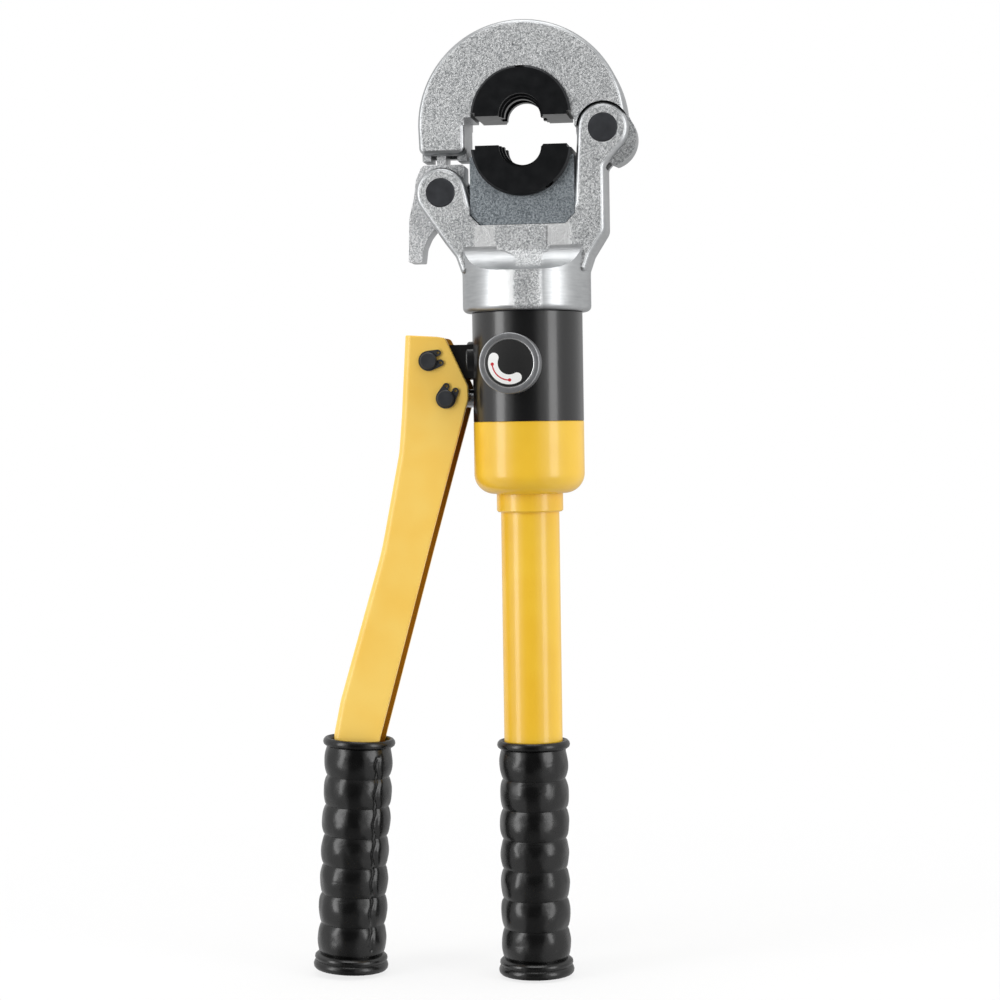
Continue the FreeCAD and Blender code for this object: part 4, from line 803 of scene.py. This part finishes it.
# %% Label print
ARC_RADIUS, ARC_HALF_WIDTH = 0.0087, 0.0026
LINE_RADIUS, LINE_HALF_WIDTH = 0.0090, 0.00035
DOT_RADIUS = 0.0009

film = Finish("label_print", Specular_IOR_Level=0.45)
film_x, _, film_z = film.axes()
across, upward = film_x - knob_middle.x, film_z - knob_middle.z
white_arc = arc_mask(across, upward, ARC_RADIUS, ARC_HALF_WIDTH, 160, 298)
red_line = arc_mask(across, upward, LINE_RADIUS, LINE_HALF_WIDTH, 186, 268)
red_mark = with_dots(red_line, across, upward, LINE_RADIUS, DOT_RADIUS, (183, 271))
texture = film.noise(0.0007, 2.0)
ground = film.blend(texture, colour("141414"), colour("1E1E1E"))
printed = film.blend(white_arc, ground, colour("F4F4F2"))
film.give("Base Color", film.blend(red_mark, printed, colour("C4262E")))
film.give("Roughness", 0.42 + texture * 0.12)
film.give("Normal", film.bump(texture, 0.00001, 0.5))
finished(label, "knob_label_disc", "knob", "label_film", film.material, "knob_label")

# %% [markdown]
# ## The return spring
# A coil spring pushes the ram back down. Its top sits in the head and its foot on the piston, so
# it shortens as the ram rises. A body can't do that, because it only carries a piece along. Here
# the coil is a copy of the engineering model's spring, with doubled vertices merged, on the head.

# %% Return spring
coil_low, coil_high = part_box("ram_return_spring")
ram_slide = next(joint for joint in frame["joints"] if joint["name"] == "ram_slide")
stroke = ram_slide["range_m"][1]
coil_length = coil_high.z - coil_low.z
coil_mesh = frame["nodes"]["ram_return_spring"].data.copy()
return_coil = bpy.data.objects.new("ram_return_coil", coil_mesh)
bpy.context.scene.collection.objects.link(return_coil)
alone(return_coil)
bpy.ops.object.mode_set(mode="EDIT")
bpy.ops.mesh.select_all(action="SELECT")
bpy.ops.mesh.remove_doubles(threshold=0.00001)
bpy.ops.object.mode_set(mode="OBJECT")
finished(return_coil, "ram_return_coil", "head", "spring_steel", spring_steel,
         "ram_return_spring")
1 - stroke / coil_length
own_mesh(return_coil)
print("spring in mm:", round(coil_length / MM, 1), "at rest and",
      round((coil_length - stroke) / MM, 1), "pressed")

# %% [markdown]
# ## Finish
# The looks may not change the tool's size.

# %% Sizes and finish
import json
